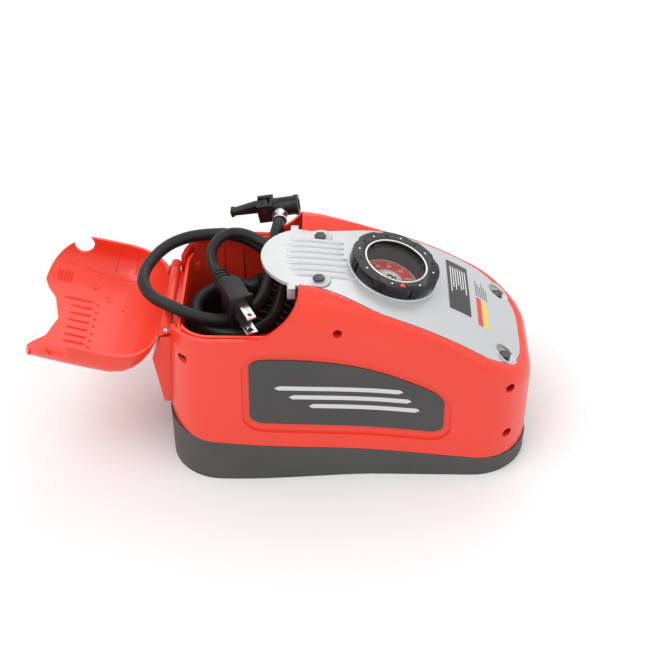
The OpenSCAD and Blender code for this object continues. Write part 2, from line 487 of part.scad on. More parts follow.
// ---- machine
mod = 1;                          // module of the two gears
shaft_z = 58;
gear_x = part_x + 77;
motor_x = gear_x + mod * (pinion_teeth + gear_teeth) / 2;
gear_y0 = 2;
gear_t = 8;
plate_t = 3;
motor_y1 = -plate_t - 1;
motor_y0 = motor_y1 - motor_l;
cyl_y = gear_y0 + gear_t + bore_d / 2 + 4;     // plane of the rod and the cylinder
wrist_x = gear_x + crank_r - rod_l;
module motor_can() color(STEEL) difference() {
    along_y(motor_x, shaft_z, motor_y0, motor_y1, motor_d / 2);
    along_y(motor_x, shaft_z, motor_y0 - 1, motor_y1 - 2, motor_d / 2 - 1.5);
    along_y(motor_x, shaft_z, motor_y1 - 3, 0, 5);
    for (k = [0:3]) translate([motor_x, 0, shaft_z]) rotate([0, 45 + 90 * k, 0]) translate([-3, motor_y0 + 8, 10]) cube([6, 12, 20]);
}
module motor_end_cap() color(GREY) difference() {
    along_y(motor_x, shaft_z, motor_y0 - 2.5, motor_y0, motor_d / 2);
    along_y(motor_x, shaft_z, motor_y0 - 5, 0, 2 + gap);
}
module rotor_shaft() color(STEEL) {
    along_y(motor_x, shaft_z, motor_y0 - 9, gear_y0 + gear_t, 2);
    along_y(motor_x, shaft_z, motor_y0 + 6, motor_y1 - 8, motor_d / 2 - 3);
}
module gear_2d(n, phase) let (rp = mod * n / 2, ro = rp + 0.8 * mod, rr = rp - 1.2 * mod, t = 360 / n)
    polygon([for (i = [0:n - 1]) each [for (q = [[rr, -0.36], [rp, -0.22], [ro, -0.1], [ro, 0.1], [rp, 0.22], [rr, 0.36]])
        [q[0] * cos((i + q[1]) * t + phase), q[0] * sin((i + q[1]) * t + phase)]]]);
module gear_solid(x, n, phase, y0, h) translate([x, y0 + h, shaft_z]) rotate([90, 0, 0]) linear_extrude(h) gear_2d(n, phase);
module pinion() color(STEEL) difference() {
    gear_solid(motor_x, pinion_teeth, pinion_teeth % 2 == 0 ? 180 / pinion_teeth : 0, gear_y0, gear_t);
    along_y(motor_x, shaft_z, 0, 20, 2);
}
module cooling_fan() color(GREY) difference() {
    union() {
        along_y(motor_x, shaft_z, motor_y0 - 8, motor_y0 - 3.2, 5);
        for (k = [0:6]) translate([motor_x, motor_y0 - 5.6, shaft_z]) rotate([0, 360 * k / 7, 0])
            translate([4, 0, 0]) rotate([25, 0, 0]) translate([0, -0.6, -3]) cube([13, 1.2, 6]);
    }
    along_y(motor_x, shaft_z, motor_y0 - 20, motor_y0, 2);
}
axle_r = 3;
module gear_plate() color(STEEL) difference() {
    union() {
        translate([gear_x - 22, -plate_t, shaft_z - 22]) cube([motor_x - gear_x + 43, plate_t, 44]);
        along_y(gear_x, shaft_z, -0.5, gear_y0 + gear_t + 2.5, axle_r);
        along_y(gear_x, shaft_z, -0.5, gear_y0 - 0.6, axle_r + 2.5);
        translate([gear_x - 22, -plate_t, seam_z - 24]) cube([40, plate_t, shaft_z - 44 + 24]);
        translate([gear_x - 22, -18, tray_floor + 0.1]) cube([40, 18, 2]);
    }
    along_y(motor_x, shaft_z, -20, 20, 2 + 0.5);
    for (m = [-1, 1]) along_y(gear_x - 14, shaft_z + m * 14, -20, 20, 1.6);
}
module crank_gear() color(GREY) difference() {
    gear_solid(gear_x, gear_teeth, 0, gear_y0, gear_t);
    along_y(gear_x, shaft_z, 0, 20, axle_r + gap);
    along_y(gear_x + crank_r, shaft_z, gear_y0 + gear_t - 5, 20, 2.5);
    for (k = [1:4]) translate([gear_x, 0, shaft_z]) rotate([0, 72 * k, 0]) translate([16, -1, 0]) rotate([-90, 0, 0]) cylinder(r = 5, h = 20);
}
module axle_clip() color(STEEL) along_y2();
module along_y2() difference() {
    along_y(gear_x, shaft_z, gear_y0 + gear_t + 0.4, gear_y0 + gear_t + 1.3, axle_r + 1.2);
    along_y(gear_x, shaft_z, 0, 20, axle_r);
    translate([gear_x - 1.2, 0, shaft_z]) cube([2.4, 20, 8]);
}
module crank_pin() color(STEEL) along_y(gear_x + crank_r, shaft_z, gear_y0 + gear_t - 5, cyl_y - 2 - gap, 2.5);
module connecting_rod() color(STEEL) difference() {
    union() {
        along_y(gear_x + crank_r, shaft_z, cyl_y - 2, cyl_y + 2, 5);
        along_y(wrist_x, shaft_z, cyl_y - 2, cyl_y + 2, 4.4);
        translate([wrist_x + 3.5, cyl_y - 2, shaft_z - 2.6]) cube([rod_l - 7.5, 4, 5.2]);
    }
    along_y(wrist_x, shaft_z, 0, 40, 2 + gap);
}
module wrist_pin() color(STEEL) along_y(wrist_x, shaft_z, cyl_y - 9, cyl_y + 9, 2);
module piston() color(SILVER) difference() {
    along_x(wrist_x - 9, wrist_x + 9, cyl_y, shaft_z, bore_d / 2 - 0.35);
    translate([wrist_x - 5.5, cyl_y - 2.6, shaft_z - 9]) cube([20, 5.2, 18]);
    along_y(wrist_x, shaft_z, 0, 40, 2);
    difference() {
        along_x(wrist_x - 6.5, wrist_x - 4.5, cyl_y, shaft_z, bore_d / 2);
        along_x(wrist_x - 7, wrist_x - 4, cyl_y, shaft_z, bore_d / 2 - 2);
    }
}
module piston_ring() color(BLACK) difference() {
    along_x(wrist_x - 6.5, wrist_x - 4.5, cyl_y, shaft_z, bore_d / 2 - 0.3);
    along_x(wrist_x - 7, wrist_x - 4, cyl_y, shaft_z, bore_d / 2 - 2);
}
head_x = wrist_x - 9 - 2 * crank_r - 1;
module cylinder_tube() difference() {
    union() {
        along_x(head_x, wrist_x + 11, cyl_y, shaft_z, bore_d / 2 + 3);
        translate([head_x + 8, cyl_y - 12, tray_floor + 5.2]) cube([5, 24, shaft_z - bore_d / 2 - 6]);
        for (i = [0:3]) along_x(head_x + 3 + i * 5, head_x + 4.6 + i * 5, cyl_y, shaft_z, bore_d / 2 + 5);
    }
    along_x(head_x - 1, 60, cyl_y, shaft_z, bore_d / 2);
}
module cylinder_barrel() color(STEEL) cylinder_tube();
manifold_x = head_x - 8;
module cylinder_head() color(GREY) difference() {
    along_x(manifold_x, head_x, cyl_y, shaft_z, bore_d / 2 + 3);
    along_x(manifold_x - 1, head_x + 1, cyl_y, shaft_z, 3);
    for (k = [0:3]) head_bolt_at(k) cylinder(r = 1.3, h = 12);
}
module head_bolt_at(k) translate([manifold_x, cyl_y, shaft_z]) rotate([45 + 90 * k, 0, 0]) translate([0, 0, bore_d / 2 + 1]) rotate([0, 90, 0]) children();
module head_bolts() color(STEEL) for (k = [0:3]) head_bolt_at(k) {
    cylinder(r = 1.3, h = 8);
}
module air_manifold() color(GREY) difference() {
    translate([manifold_x - 7.9, cyl_y - 13, 52]) cube([7.9, hose_y + 23 - cyl_y, 52]);
    for (k = [0:3]) head_bolt_at(k) translate([0, 0, -20]) cylinder(r = 1.5, h = 40);
    along_x(manifold_x - 4, manifold_x + 1, cyl_y, shaft_z, 3);
    translate([manifold_x - 4, hose_y - 2, 54]) cube([1.5, 4, 46]);
}
module circuit_board() color([0.1, 0.35, 0.2]) {
    translate([-12, -52, 45]) cube([52, 1.6, 36]);
    translate([-4, -50.4, 50]) cube([12, 9, 8]);
    along_y(24, 62, -50.4, -38, 6);
    translate([30, -50.4, 70]) cube([6, 6, 5]);
    for (x = [-8, 32]) translate([x, -52.5, tray_floor + (x < 0 ? 0.1 : 0.1)]) cube([4, 2.4, 44]);
}
// ---- switch in the far wall
switch_x = nose_c - 6;
switch_z = 60;
switch_w = 10.6;
switch_h = 18.6;
rock_z = -4;                      // depth of the rocker's axis under the wall
module switch_bezel() color(BLACK) on_far_wall(switch_x, switch_z) difference() {
    union() {
        translate([-switch_w / 2 - 1.2, -switch_h / 2 - 1.2, 0.15]) cube([switch_w + 2.4, switch_h + 2.4, 1.1]);
        translate([-switch_w / 2 + gap, -switch_h / 2 + gap, -11]) cube([switch_w - 2 * gap, switch_h - 2 * gap, 12]);
    }
    translate([-switch_w / 2 + 1.3, -switch_h / 2 + 1.3, -9.5]) cube([switch_w - 2.6, switch_h - 2.6, 16]);
    translate([-10, 0, rock_z]) rotate([0, 90, 0]) cylinder(r = 1.3, h = 20);
}
module switch_rocker() color(RED) on_far_wall(switch_x, switch_z) translate([0, 0, rock_z]) rotate([-8, 0, 0]) {
    translate([-switch_w / 2 + 1.7, -6.5, -2]) cube([switch_w - 3.4, 13, 7.6]);
    translate([-switch_w / 2 + 0.6, 0, 0]) rotate([0, 90, 0]) cylinder(r = 1, h = switch_w - 1.2);
}

// ---- air hose and chuck
hose_y = 34;
hose_z = 97;
tip_x = -45.5;
tip_z = 125.5;
cord_y = 37;
cord_z = 47.5;
lap_c = [-73.4, -4];
lap_r = 28.2;
hose_route = concat([[part_x + 3, hose_y, hose_z], [-27, hose_y, hose_z], [-36, hose_y, hose_z], [-48, 33, 97.3], [-60, 30, 97.6]],
    [for (k = [4:22]) [lap_c[0] + lap_r * cos(16 * k), lap_c[1] + lap_r * sin(16 * k), 98 + 0.1 * k]],
    [[-43.5, 3, 101.5], [-42, 16, 105], [-46, 31, 109.5], [-54, 42, 113.5], [-66, 49, 118], [-80, 51, 122], [-95, 50.5, 122.3],
    [-110, 47, 122], [-123, 39, 121], [-132, 26, 120], [-137, 10, 119.5], [-136, -4, 119], [-129, -15, 117.5], [-118, -22, 116.3],
    [-105, -26, 112.6], [-92, -28, 109.5], [-79, -26.5, 107.4], [-67, -20, 106.6], [-57.5, -8, 107], [-52.5, 6, 109.5], [-50.5, 20, 114],
    [-49, 34, 119.3], [-48, 48, 124], [-46.5, 58, 125.4], [tip_x, 66, tip_z]]);
module hose() color(BLACK) tube(hose_route, hose_d);
module hose_gland() color(BLACK) difference() {
    union() {
        along_x(part_x - 11, part_x - 2, hose_y, hose_z, 7.2);
        along_x(part_x - 3, part_x + 3, hose_y, hose_z, 6);
    }
    along_x(part_x - 20, part_x + 10, hose_y, hose_z, hose_d / 2);
}
barrel_y = 81;
pivot_x = -56.5;
module at_chuck() translate([tip_x, 0, tip_z]) rotate([0, -10, 0]) translate([-tip_x, 0, -tip_z]) children();
module hose_ferrule() color(STEEL) difference() {
    union() {
        along_y(tip_x, tip_z, 63, 72, 5.2);
        for (y = [64, 70]) along_y(tip_x, tip_z, y, y + 1, 5.5);
    }
    along_y(tip_x, tip_z, 62, 66, hose_d / 2);
    along_y(tip_x, tip_z, 60, 80, 2);
}
module chuck_body() color(BLACK) at_chuck() difference() {
    union() {
        along_x(-52, -33, barrel_y, tip_z, 7);
        along_x(-35, -32, barrel_y, tip_z, 7.6);
        along_y(tip_x, tip_z, 72, 80, 5.2);
        translate([-62, barrel_y - 7.5, tip_z - 7]) cube([11.5, 15, 14]);
    }
    along_x(-48, -30, barrel_y, tip_z, 4.6);
    translate([-63, barrel_y - 4, tip_z - 3.8]) cube([10.5, 8, 20]);
    along_y(pivot_x, tip_z + 3, 60, 100, 1.5);
    along_y(tip_x, tip_z, 71, 79, 2);
}
module chuck_seal() color([0.25, 0.2, 0.18]) at_chuck() difference() {
    along_x(-41, -34, barrel_y, tip_z, 4.6);
    along_x(-42, -33, barrel_y, tip_z, 2.6);
}
module chuck_lever() color(BLACK) at_chuck() translate([pivot_x, barrel_y, tip_z + 3]) rotate([0, -3, 0]) difference() {
    union() {
        translate([0, 3.6, 0]) rotate([90, 0, 0]) cylinder(r = 3.4, h = 7.2);
        translate([0, 3.6, 0]) rotate([90, 0, 0]) linear_extrude(7.2) polygon([[0, 3.4], [-7, 3.3],
            [-23, 1], [-24, 2], [-26, 1.8], [-26, -2.9], [-24, -3.1], [-23, -2], [-7, -3.3], [0, -3.4]]);
    }
    translate([0, 10, 0]) rotate([90, 0, 0]) cylinder(r = 1.5 + gap, h = 20);
}
module lever_pin() color(STEEL) at_chuck() along_y(pivot_x, tip_z + 3, barrel_y - 7.5, barrel_y + 7.5, 1.5);

// ---- power cord
coil_c = [-65.6, -2];
coil_top = 93;
module cord_gland() color(BLACK) difference() {
    union() {
        along_x(part_x - 7, part_x - 2, cord_y, cord_z, cord_d / 2 + 1.6);
        along_x(part_x - 3, part_x + 3, cord_y, cord_z, cord_d / 2 + 1.1);
    }
    along_x(part_x - 20, part_x + 10, cord_y, cord_z, cord_d / 2);
}
module cord_lead() color(BLACK) tube([[-10.5, cord_y, cord_z], [-16, cord_y, cord_z], [-30, cord_y, cord_z], [-40, cord_y, cord_z], [-50, cord_y - 0.5, cord_z]], cord_d);
module cord_coil() color(BLACK) translate([coil_c[0], coil_c[1], 0]) rotate_extrude($fn = 96) {
    translate([coil_r - cord_d / 2, tub_z + 0.3 + cord_d / 2]) square([cord_d, coil_top - tub_z - 0.3 - cord_d]);
    translate([coil_r, tub_z + 0.3 + cord_d / 2]) circle(d = cord_d, $fn = 24);
    translate([coil_r, coil_top - cord_d / 2]) circle(d = cord_d, $fn = 24);
}
plug_p = [-85.4, 5];
plug_a = -64.5;                   // heading of the plug
plug_d = [cos(plug_a), sin(plug_a)];
plug_z = 122.5;
loop_route = [[-29, -18, 87.5], [-27.6, -10, 92], [-28.5, 2, 99], [-32, 13, 106.5], [-38, 21.5, 116.2], [-47, 27, 125.6], [-58, 33, 130], [-69, 37, 133],
    [-79, 36.5, 133.7], [-87, 30, 132.5], [-91, 21, 129.5], [-89.8, 13, 125.4], [-87, 8, 122.7], [plug_p[0] + 2 * plug_d[0], plug_p[1] + 2 * plug_d[1], plug_z]];
module cord_loop() color(BLACK) tube(loop_route, cord_d);
module at_plug() translate([plug_p[0], plug_p[1], plug_z]) rotate([0, 0, plug_a]) children();
module plug_relief() color(BLACK) at_plug() difference() {
    union() {
        rotate([0, 90, 0]) cylinder(r1 = 4.6, r2 = 6, h = 18);
        for (i = [0:4]) translate([1 + i * 3.6, 0, 0]) rotate([0, 90, 0]) cylinder(r = 5.6 + i * 0.2, h = 1.8);
    }
    translate([-1, 0, 0]) rotate([0, 90, 0]) cylinder(r = cord_d / 2, h = 5);
}
module plug_body() color(BLACK) at_plug() {
    translate([18, 0, -10.5]) linear_extrude(21) polygon([[0, -5], [5, -7], [22, -7.2], [26, -7.2], [26, 7.2], [22, 7.2], [5, 7], [0, 5]]);
    translate([42, -8.2, -11.5]) cube([2.5, 16.4, 23]);
}
module plug_blades() color(STEEL) at_plug() difference() {
    union() {
        translate([44.5, -3.2, 5.6]) cube([17.5, 6.4, 1.5]);
        translate([44.5, -4, -7.1]) cube([17.5, 8, 1.5]);
    }
    for (z = [5, -8]) translate([58, 0, z]) cylinder(r = 1.5, h = 3);
}

base_tray();
rubber_feet();
base_screws();
housing_near();
housing_far();
housing_screws();
hinge_tail();
cord_tub();
top_cover();
cover_screws();
label_near();
label_far();
info_label();
gauge_cup();
gauge_movement();
gauge_dial();
gauge_needle();
gauge_lens();
pressure_ring();
ring_pointer();
gauge_tube();
lid();
hinge_pin();
motor_can();
motor_end_cap();
rotor_shaft();
pinion();
cooling_fan();
gear_plate();
crank_gear();
axle_clip();
crank_pin();
connecting_rod();
wrist_pin();
piston();
piston_ring();
cylinder_barrel();  // cylinder
cylinder_head();
head_bolts();
air_manifold();
circuit_board();
switch_bezel();
switch_rocker();
hose_gland();
hose();
hose_ferrule();
chuck_body();
chuck_seal();
chuck_lever();
lever_pin();
cord_gland();
cord_lead();
cord_coil();
cord_loop();
plug_relief();
plug_body();
plug_blades();
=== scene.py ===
"""A portable mains air inflator on a pale table: red shells, silver cover, gauge, hose, cord and lid."""
import json
import math

import bmesh
import bpy
from mathutils import Matrix, Vector
from mathutils.bvhtree import BVHTree


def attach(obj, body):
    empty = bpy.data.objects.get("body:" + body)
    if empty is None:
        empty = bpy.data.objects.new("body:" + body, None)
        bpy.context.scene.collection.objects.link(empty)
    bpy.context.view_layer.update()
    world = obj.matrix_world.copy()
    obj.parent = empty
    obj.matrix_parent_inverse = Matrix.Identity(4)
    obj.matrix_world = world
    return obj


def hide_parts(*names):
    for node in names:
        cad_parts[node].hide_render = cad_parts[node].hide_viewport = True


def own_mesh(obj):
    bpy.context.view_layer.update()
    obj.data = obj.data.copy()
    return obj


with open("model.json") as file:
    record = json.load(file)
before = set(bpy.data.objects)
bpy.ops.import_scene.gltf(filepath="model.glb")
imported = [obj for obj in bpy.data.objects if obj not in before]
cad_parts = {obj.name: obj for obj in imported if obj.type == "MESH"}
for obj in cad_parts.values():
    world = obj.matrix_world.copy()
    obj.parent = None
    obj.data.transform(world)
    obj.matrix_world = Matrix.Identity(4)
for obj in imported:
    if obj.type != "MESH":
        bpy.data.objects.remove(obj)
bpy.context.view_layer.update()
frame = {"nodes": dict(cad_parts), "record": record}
NODES = frame["nodes"]
RECORD = frame["record"]
BODY_OF = {n: b for b, ns in RECORD["behaviour"]["bodies"].items() for n in ns}
SLOT_OF = {s["node"]: s["material_slot"] for s in RECORD["subparts"]}
JOINT = {j["name"]: j for j in RECORD["behaviour"]["joints"]}
MM = 0.001


def lerp(a, b, t):
    return a + (b - a) * t


# ---- camera: long lens from the front, a little under 45 degrees down
PITCH, YAW = math.radians(40.243), math.radians(-1.093)
LENS, SENSOR, FAR_CLIP = 73.41, 36, 20
LOOK_AT, DISTANCE = Vector((-0.013, 0, 0.083)), 0.930


def aim_camera():
    ahead = Vector((math.sin(YAW) * math.cos(PITCH), math.cos(YAW) * math.cos(PITCH), -math.sin(PITCH)))
    right = Vector((math.cos(YAW), -math.sin(YAW), 0))
    up = right.cross(ahead)
    data = bpy.data.cameras.new("camera")
    data.lens, data.sensor_width, data.clip_end = LENS, SENSOR, FAR_CLIP
    cam = bpy.data.objects.new("camera", data)
    bpy.context.scene.collection.objects.link(cam)
    place = Matrix((right, up, -ahead)).transposed().to_4x4()
    place.translation = LOOK_AT - ahead * DISTANCE
    cam.matrix_world = place
    bpy.context.scene.camera = cam


aim_camera()


# ---- finishes
def new_finish(name, colour, rough, metal=0.0, coat=0.0, specular=0.5, sheen=0.0):
    """A plain finish, with its node tree and its shader, ready for patterns."""
    m = bpy.data.materials.new(name)
    m.use_nodes = True
    m.diffuse_color = (*colour, 1)
    b = m.node_tree.nodes["Principled BSDF"]
    for socket, value in (("Base Color", (*colour, 1)), ("Roughness", rough), ("Metallic", metal),
                          ("Coat Weight", coat), ("Coat Roughness", 0.12), ("Specular IOR Level", specular),
                          ("Sheen Weight", sheen)):
        b.inputs[socket].default_value = value
    return m, m.node_tree, b


def noise(t, scale, detail=3.0, rough=0.5, stretch=(1, 1, 1)):
    """Noise fixed to the piece; stretch draws it out into lines."""
    place = t.nodes.new("ShaderNodeTexCoord")
    stretcher = t.nodes.new("ShaderNodeMapping")
    stretcher.inputs["Scale"].default_value = stretch
    grain = t.nodes.new("ShaderNodeTexNoise")
    grain.inputs["Scale"].default_value = scale
    grain.inputs["Detail"].default_value = detail
    grain.inputs["Roughness"].default_value = rough
    t.links.new(place.outputs["Object"], stretcher.inputs["Vector"])
    t.links.new(stretcher.outputs["Vector"], grain.inputs["Vector"])
    return grain.outputs["Fac"]


def spread(t, fac, low, high):
    """Noise turned into values from low to high."""
    r = t.nodes.new("ShaderNodeMapRange")
    r.inputs["From Min"].default_value, r.inputs["From Max"].default_value = 0.35, 0.65
    r.inputs["To Min"].default_value, r.inputs["To Max"].default_value = low, high
    t.links.new(fac, r.inputs["Value"])
    return r.outputs["Result"]


def two_tone(t, fac, dark, light):
    """Noise turned into a mix of two colours."""
    r = t.nodes.new("ShaderNodeValToRGB")
    ends = r.color_ramp.elements
    ends[0].position, ends[1].position = 0.3, 0.7
    ends[0].color, ends[1].color = (*dark, 1), (*light, 1)
    t.links.new(fac, r.inputs["Fac"])
    return r.outputs["Color"]


def bump(t, b, height, strength, depth, under=None):
    """Relief on the shader, over an earlier relief where one is given."""
    k = t.nodes.new("ShaderNodeBump")
    k.inputs["Strength"].default_value = strength
    k.inputs["Distance"].default_value = depth
    t.links.new(height, k.inputs["Height"])
    if under:
        t.links.new(under, k.inputs["Normal"])
    t.links.new(k.outputs["Normal"], b.inputs["Normal"])
    return k.outputs["Normal"]


def shade_of(colour, k):
    return tuple(min(1, v * k) for v in colour)


def moulded(name, colour, rough, grain, grain_scale, tone, coat=0.0, scuff=0.08, specular=0.5):
    """Moulded plastic: fine grain, faint flow marks in the colour and handling marks in the gloss."""
    m, t, b = new_finish(name, colour, rough, coat=coat, specular=specular)
    flow = noise(t, 14, 4, 0.55, (1, 2.2, 1))
    colours = two_tone(t, flow, shade_of(colour, 1 - tone), shade_of(colour, 1 + tone))
    t.links.new(colours, b.inputs["Base Color"])
    hands = noise(t, 60, 6, 0.7)
    t.links.new(spread(t, hands, rough - scuff, rough + scuff), b.inputs["Roughness"])
    wave = bump(t, b, noise(t, 55, 2, 0.4), 0.05, 0.0006)
    bump(t, b, noise(t, grain_scale, 2, 0.6), grain, 0.00008, wave)
    return m


def painted_silver(name, colour, rough):
    """Silver-painted plastic with fine flake."""
    m, t, b = new_finish(name, colour, rough, metal=0.35, coat=0.25)
    flake = noise(t, 3800, 1, 0.5)
    t.links.new(two_tone(t, flake, shade_of(colour, 0.9), shade_of(colour, 1.08)), b.inputs["Base Color"])
    t.links.new(spread(t, noise(t, 40, 5, 0.6), rough - 0.05, rough + 0.07), b.inputs["Roughness"])
    bump(t, b, noise(t, 2600, 2, 0.6), 0.08, 0.00006)
    return m


def rubbery(name, colour, rough, grain=0.25, grain_scale=1700):
    """Rubber or vinyl: fine grain, dust in the colour."""
    m, t, b = new_finish(name, colour, rough, sheen=0.02, specular=0.3)
    dust = noise(t, 90, 6, 0.65)
    t.links.new(two_tone(t, dust, shade_of(colour, 0.8), shade_of(colour, 1.5)), b.inputs["Base Color"])
    t.links.new(spread(t, noise(t, 130, 4, 0.6), rough - 0.07, rough + 0.1), b.inputs["Roughness"])
    bump(t, b, noise(t, grain_scale, 3, 0.6), grain, 0.0001)
    return m


def turned_metal(name, colour, rough, stretch, lines=0.35):
    """Turned, drawn or brushed metal: fine lines along one direction."""
    m, t, b = new_finish(name, colour, rough, metal=1.0)
    line = noise(t, 420, 3, 0.6, stretch)
    t.links.new(two_tone(t, line, shade_of(colour, 0.82), shade_of(colour, 1.1)), b.inputs["Base Color"])
    wear = noise(t, 300, 4, 0.6, stretch)
    t.links.new(spread(t, wear, rough - 0.06, rough + 0.1), b.inputs["Roughness"])
    bump(t, b, line, lines, 0.00006)
    return m


def cast_metal(name, colour, rough):
    """Cast or blackened metal with a coarse skin."""
    m, t, b = new_finish(name, colour, rough, metal=0.9)
    patches = noise(t, 160, 5, 0.7)
    t.links.new(two_tone(t, patches, shade_of(colour, 0.8), shade_of(colour, 1.1)), b.inputs["Base Color"])
    t.links.new(spread(t, noise(t, 500, 3, 0.6), rough - 0.05, rough + 0.12), b.inputs["Roughness"])
    bump(t, b, noise(t, 1500, 4, 0.7), 0.5, 0.0001)
    return m


def clear_plastic(name):
    """Thin clear moulding with faint wipe marks."""
    m, t, b = new_finish(name, (0.98, 0.99, 1.0), 0.04)
    b.inputs["Transmission Weight"].default_value = 1.0
    b.inputs["IOR"].default_value = 1.15
    t.links.new(spread(t, noise(t, 120, 4, 0.6), 0.015, 0.05), b.inputs["Roughness"])
    return m


# the loaded frame may already use these names, and then a number follows each
FINISH = {made.name.split(".")[0]: made for made in (
    moulded("red_shell", (0.80, 0.040, 0.017), 0.34, 0.08, 2200, 0.03, coat=0.12, scuff=0.03),
    # red_tub holds painted light: its red is set brighter than the shells' red to lift the shade that falls
    # into the tub under the cover's tongue
    moulded("red_tub", (0.90, 0.05, 0.022), 0.42, 0.1, 2200, 0.05),
    moulded("base_plastic", (0.052, 0.052, 0.05), 0.5, 0.32, 1800, 0.12),
    painted_silver("silver_cover", (0.56, 0.57, 0.585), 0.38),
    moulded("label_grey", (0.045, 0.044, 0.043), 0.42, 0.1, 2600, 0.1),
    moulded("black_plastic", (0.008, 0.008, 0.009), 0.36, 0.2, 2200, 0.2, specular=0.28),
    moulded("ring_plastic", (0.006, 0.006, 0.007), 0.2, 0.08, 2400, 0.2, coat=0.12, specular=0.3),
    moulded("machine_plastic", (0.09, 0.09, 0.095), 0.45, 0.2, 1800, 0.12),
    moulded("red_mark", (0.75, 0.04, 0.02), 0.35, 0.05, 2600, 0.05),
    moulded("needle", (0.02, 0.02, 0.02), 0.4, 0.05, 2600, 0.1),
    moulded("dial_print", (0.75, 0.75, 0.74), 0.5, 0.06, 3000, 0.02),
    rubbery("rubber", (0.012, 0.012, 0.012), 0.7),
    rubbery("hose_rubber", (0.011, 0.011, 0.012), 0.42, 0.22, 1500),
    rubbery("cord_vinyl", (0.010, 0.010, 0.011), 0.34, 0.12, 2200),
    rubbery("clear_tube", (0.6, 0.6, 0.55), 0.3, 0.05),
    turned_metal("screw_steel", (0.55, 0.55, 0.57), 0.34, (1, 1, 1)),
    cast_metal("dark_screw", (0.10, 0.10, 0.105), 0.42),
    turned_metal("bright_steel", (0.62, 0.62, 0.64), 0.26, (1, 20, 1)),
    turned_metal("motor_steel", (0.5, 0.5, 0.52), 0.36, (1, 18, 1)),
    turned_metal("bright_nickel", (0.72, 0.70, 0.66), 0.2, (18, 1, 1), 0.2),
    turned_metal("pinion_brass", (0.72, 0.52, 0.2), 0.3, (1, 20, 1)),
    turned_metal("brass_part", (0.72, 0.52, 0.2), 0.34, (1, 1, 12)),
    cast_metal("cast_alu", (0.6, 0.6, 0.62), 0.42),
    moulded("board", (0.02, 0.16, 0.06), 0.35, 0.1, 2600, 0.15),
    clear_plastic("clear_lens"),
)}
WHITE_MARK = moulded("white_mark", (0.8, 0.8, 0.8), 0.4, 0.05, 2600, 0.02)
YELLOW_MARK = moulded("yellow_mark", (0.85, 0.6, 0.03), 0.4, 0.05, 2600, 0.04)
SILVER_MARK = painted_silver("silver_mark", (0.62, 0.62, 0.63), 0.3)


# ---- making pieces
def put(name, mesh, body, slot, finish=None, smooth=None):
    """A finished piece: an object at the origin with its mesh in place, riding on a body."""
    ob = bpy.data.objects.new(name, mesh)
    bpy.context.scene.collection.objects.link(ob)
    if not mesh.materials:
        mesh.materials.append(finish or FINISH[slot])
    if smooth is not None:
        shade(mesh, smooth)
    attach(ob, body)
    return ob


def shade(mesh, angle):
    """Smooth shading that breaks at edges sharper than the angle."""
    bm = bmesh.new()
    bm.from_mesh(mesh)
    for f in bm.faces:
        f.smooth = True
    for e in bm.edges:
        e.smooth = len(e.link_faces) == 2 and e.calc_face_angle(0) < math.radians(angle)
    bm.to_mesh(mesh)
    bm.free()


def from_bmesh(bm, name):
    mesh = bpy.data.meshes.new(name)
    bm.to_mesh(mesh)
    bm.free()
    return mesh


def settle(ob):
    """Applies the modifiers and returns the plain mesh."""
    bpy.context.view_layer.update()
    dg = bpy.context.evaluated_depsgraph_get()
    mesh = bpy.data.meshes.new_from_object(ob.evaluated_get(dg))
    bpy.data.objects.remove(ob)
    return mesh


def temp(shape):
    """A short-lived object that carries a shape through its modifiers."""
    ob = bpy.data.objects.new("temp", shape)
    bpy.context.scene.collection.objects.link(ob)
    return ob


def clean_copy(node, angle, edge):
    """The node's own shape, merged, with softened edges."""
    bm = bmesh.new()
    bm.from_mesh(NODES[node].data)
    bmesh.ops.remove_doubles(bm, verts=bm.verts, dist=2e-6)
    bmesh.ops.dissolve_limit(bm, angle_limit=math.radians(0.5), verts=bm.verts, edges=bm.edges)
    mesh = from_bmesh(bm, node)
    if edge:
        ob = temp(mesh)
        mod = ob.modifiers.new("edge", "BEVEL")
        mod.width, mod.segments, mod.limit_method = edge, 2, "ANGLE"
        mod.angle_limit = math.radians(angle)
        mesh = settle(ob)
    mesh.materials.clear()
    shade(mesh, angle)
    return mesh


def remake(node, angle, edge):
    """The node's shape again, smooth and with soft edges, in the node's place."""
    ob = put(node + "_look", clean_copy(node, angle, edge), BODY_OF[node], SLOT_OF[node])
    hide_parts(node)
    return ob


def grid_mesh(rows, name, close=False):
    """A skin over rows of points; close joins each row's ends and caps the first and last row."""
    bm = bmesh.new()
    vs = [[bm.verts.new(p) for p in r] for r in rows]
    n = len(vs[0])
    for a, b in zip(vs, vs[1:]):
        for k in range(n if close else n - 1):
            bm.faces.new((a[k], a[(k + 1) % n], b[(k + 1) % n], b[k]))
    if close:
        bm.faces.new(list(reversed(vs[0])))
        bm.faces.new(vs[-1])
    bmesh.ops.recalc_face_normals(bm, faces=bm.faces)
    return from_bmesh(bm, name)


def join(meshes, name):
    """Several meshes as one."""
    bm = bmesh.new()
    for m in meshes:
        bm.from_mesh(m)
    return from_bmesh(bm, name)


def box_mesh(low, high, name, soft=0.0):
    """A block between two corners in millimetres, with rounded edges where soft is given."""
    bm = bmesh.new()
    bmesh.ops.create_cube(bm, size=1)
    for v in bm.verts:
        v.co = Vector(lerp(a * MM, b * MM, c + 0.5) for a, b, c in zip(low, high, v.co))
    if soft:
        bmesh.ops.bevel(bm, geom=bm.edges[:], offset=soft * MM, segments=3, profile=0.5, affect="EDGES")
    return from_bmesh(bm, name)


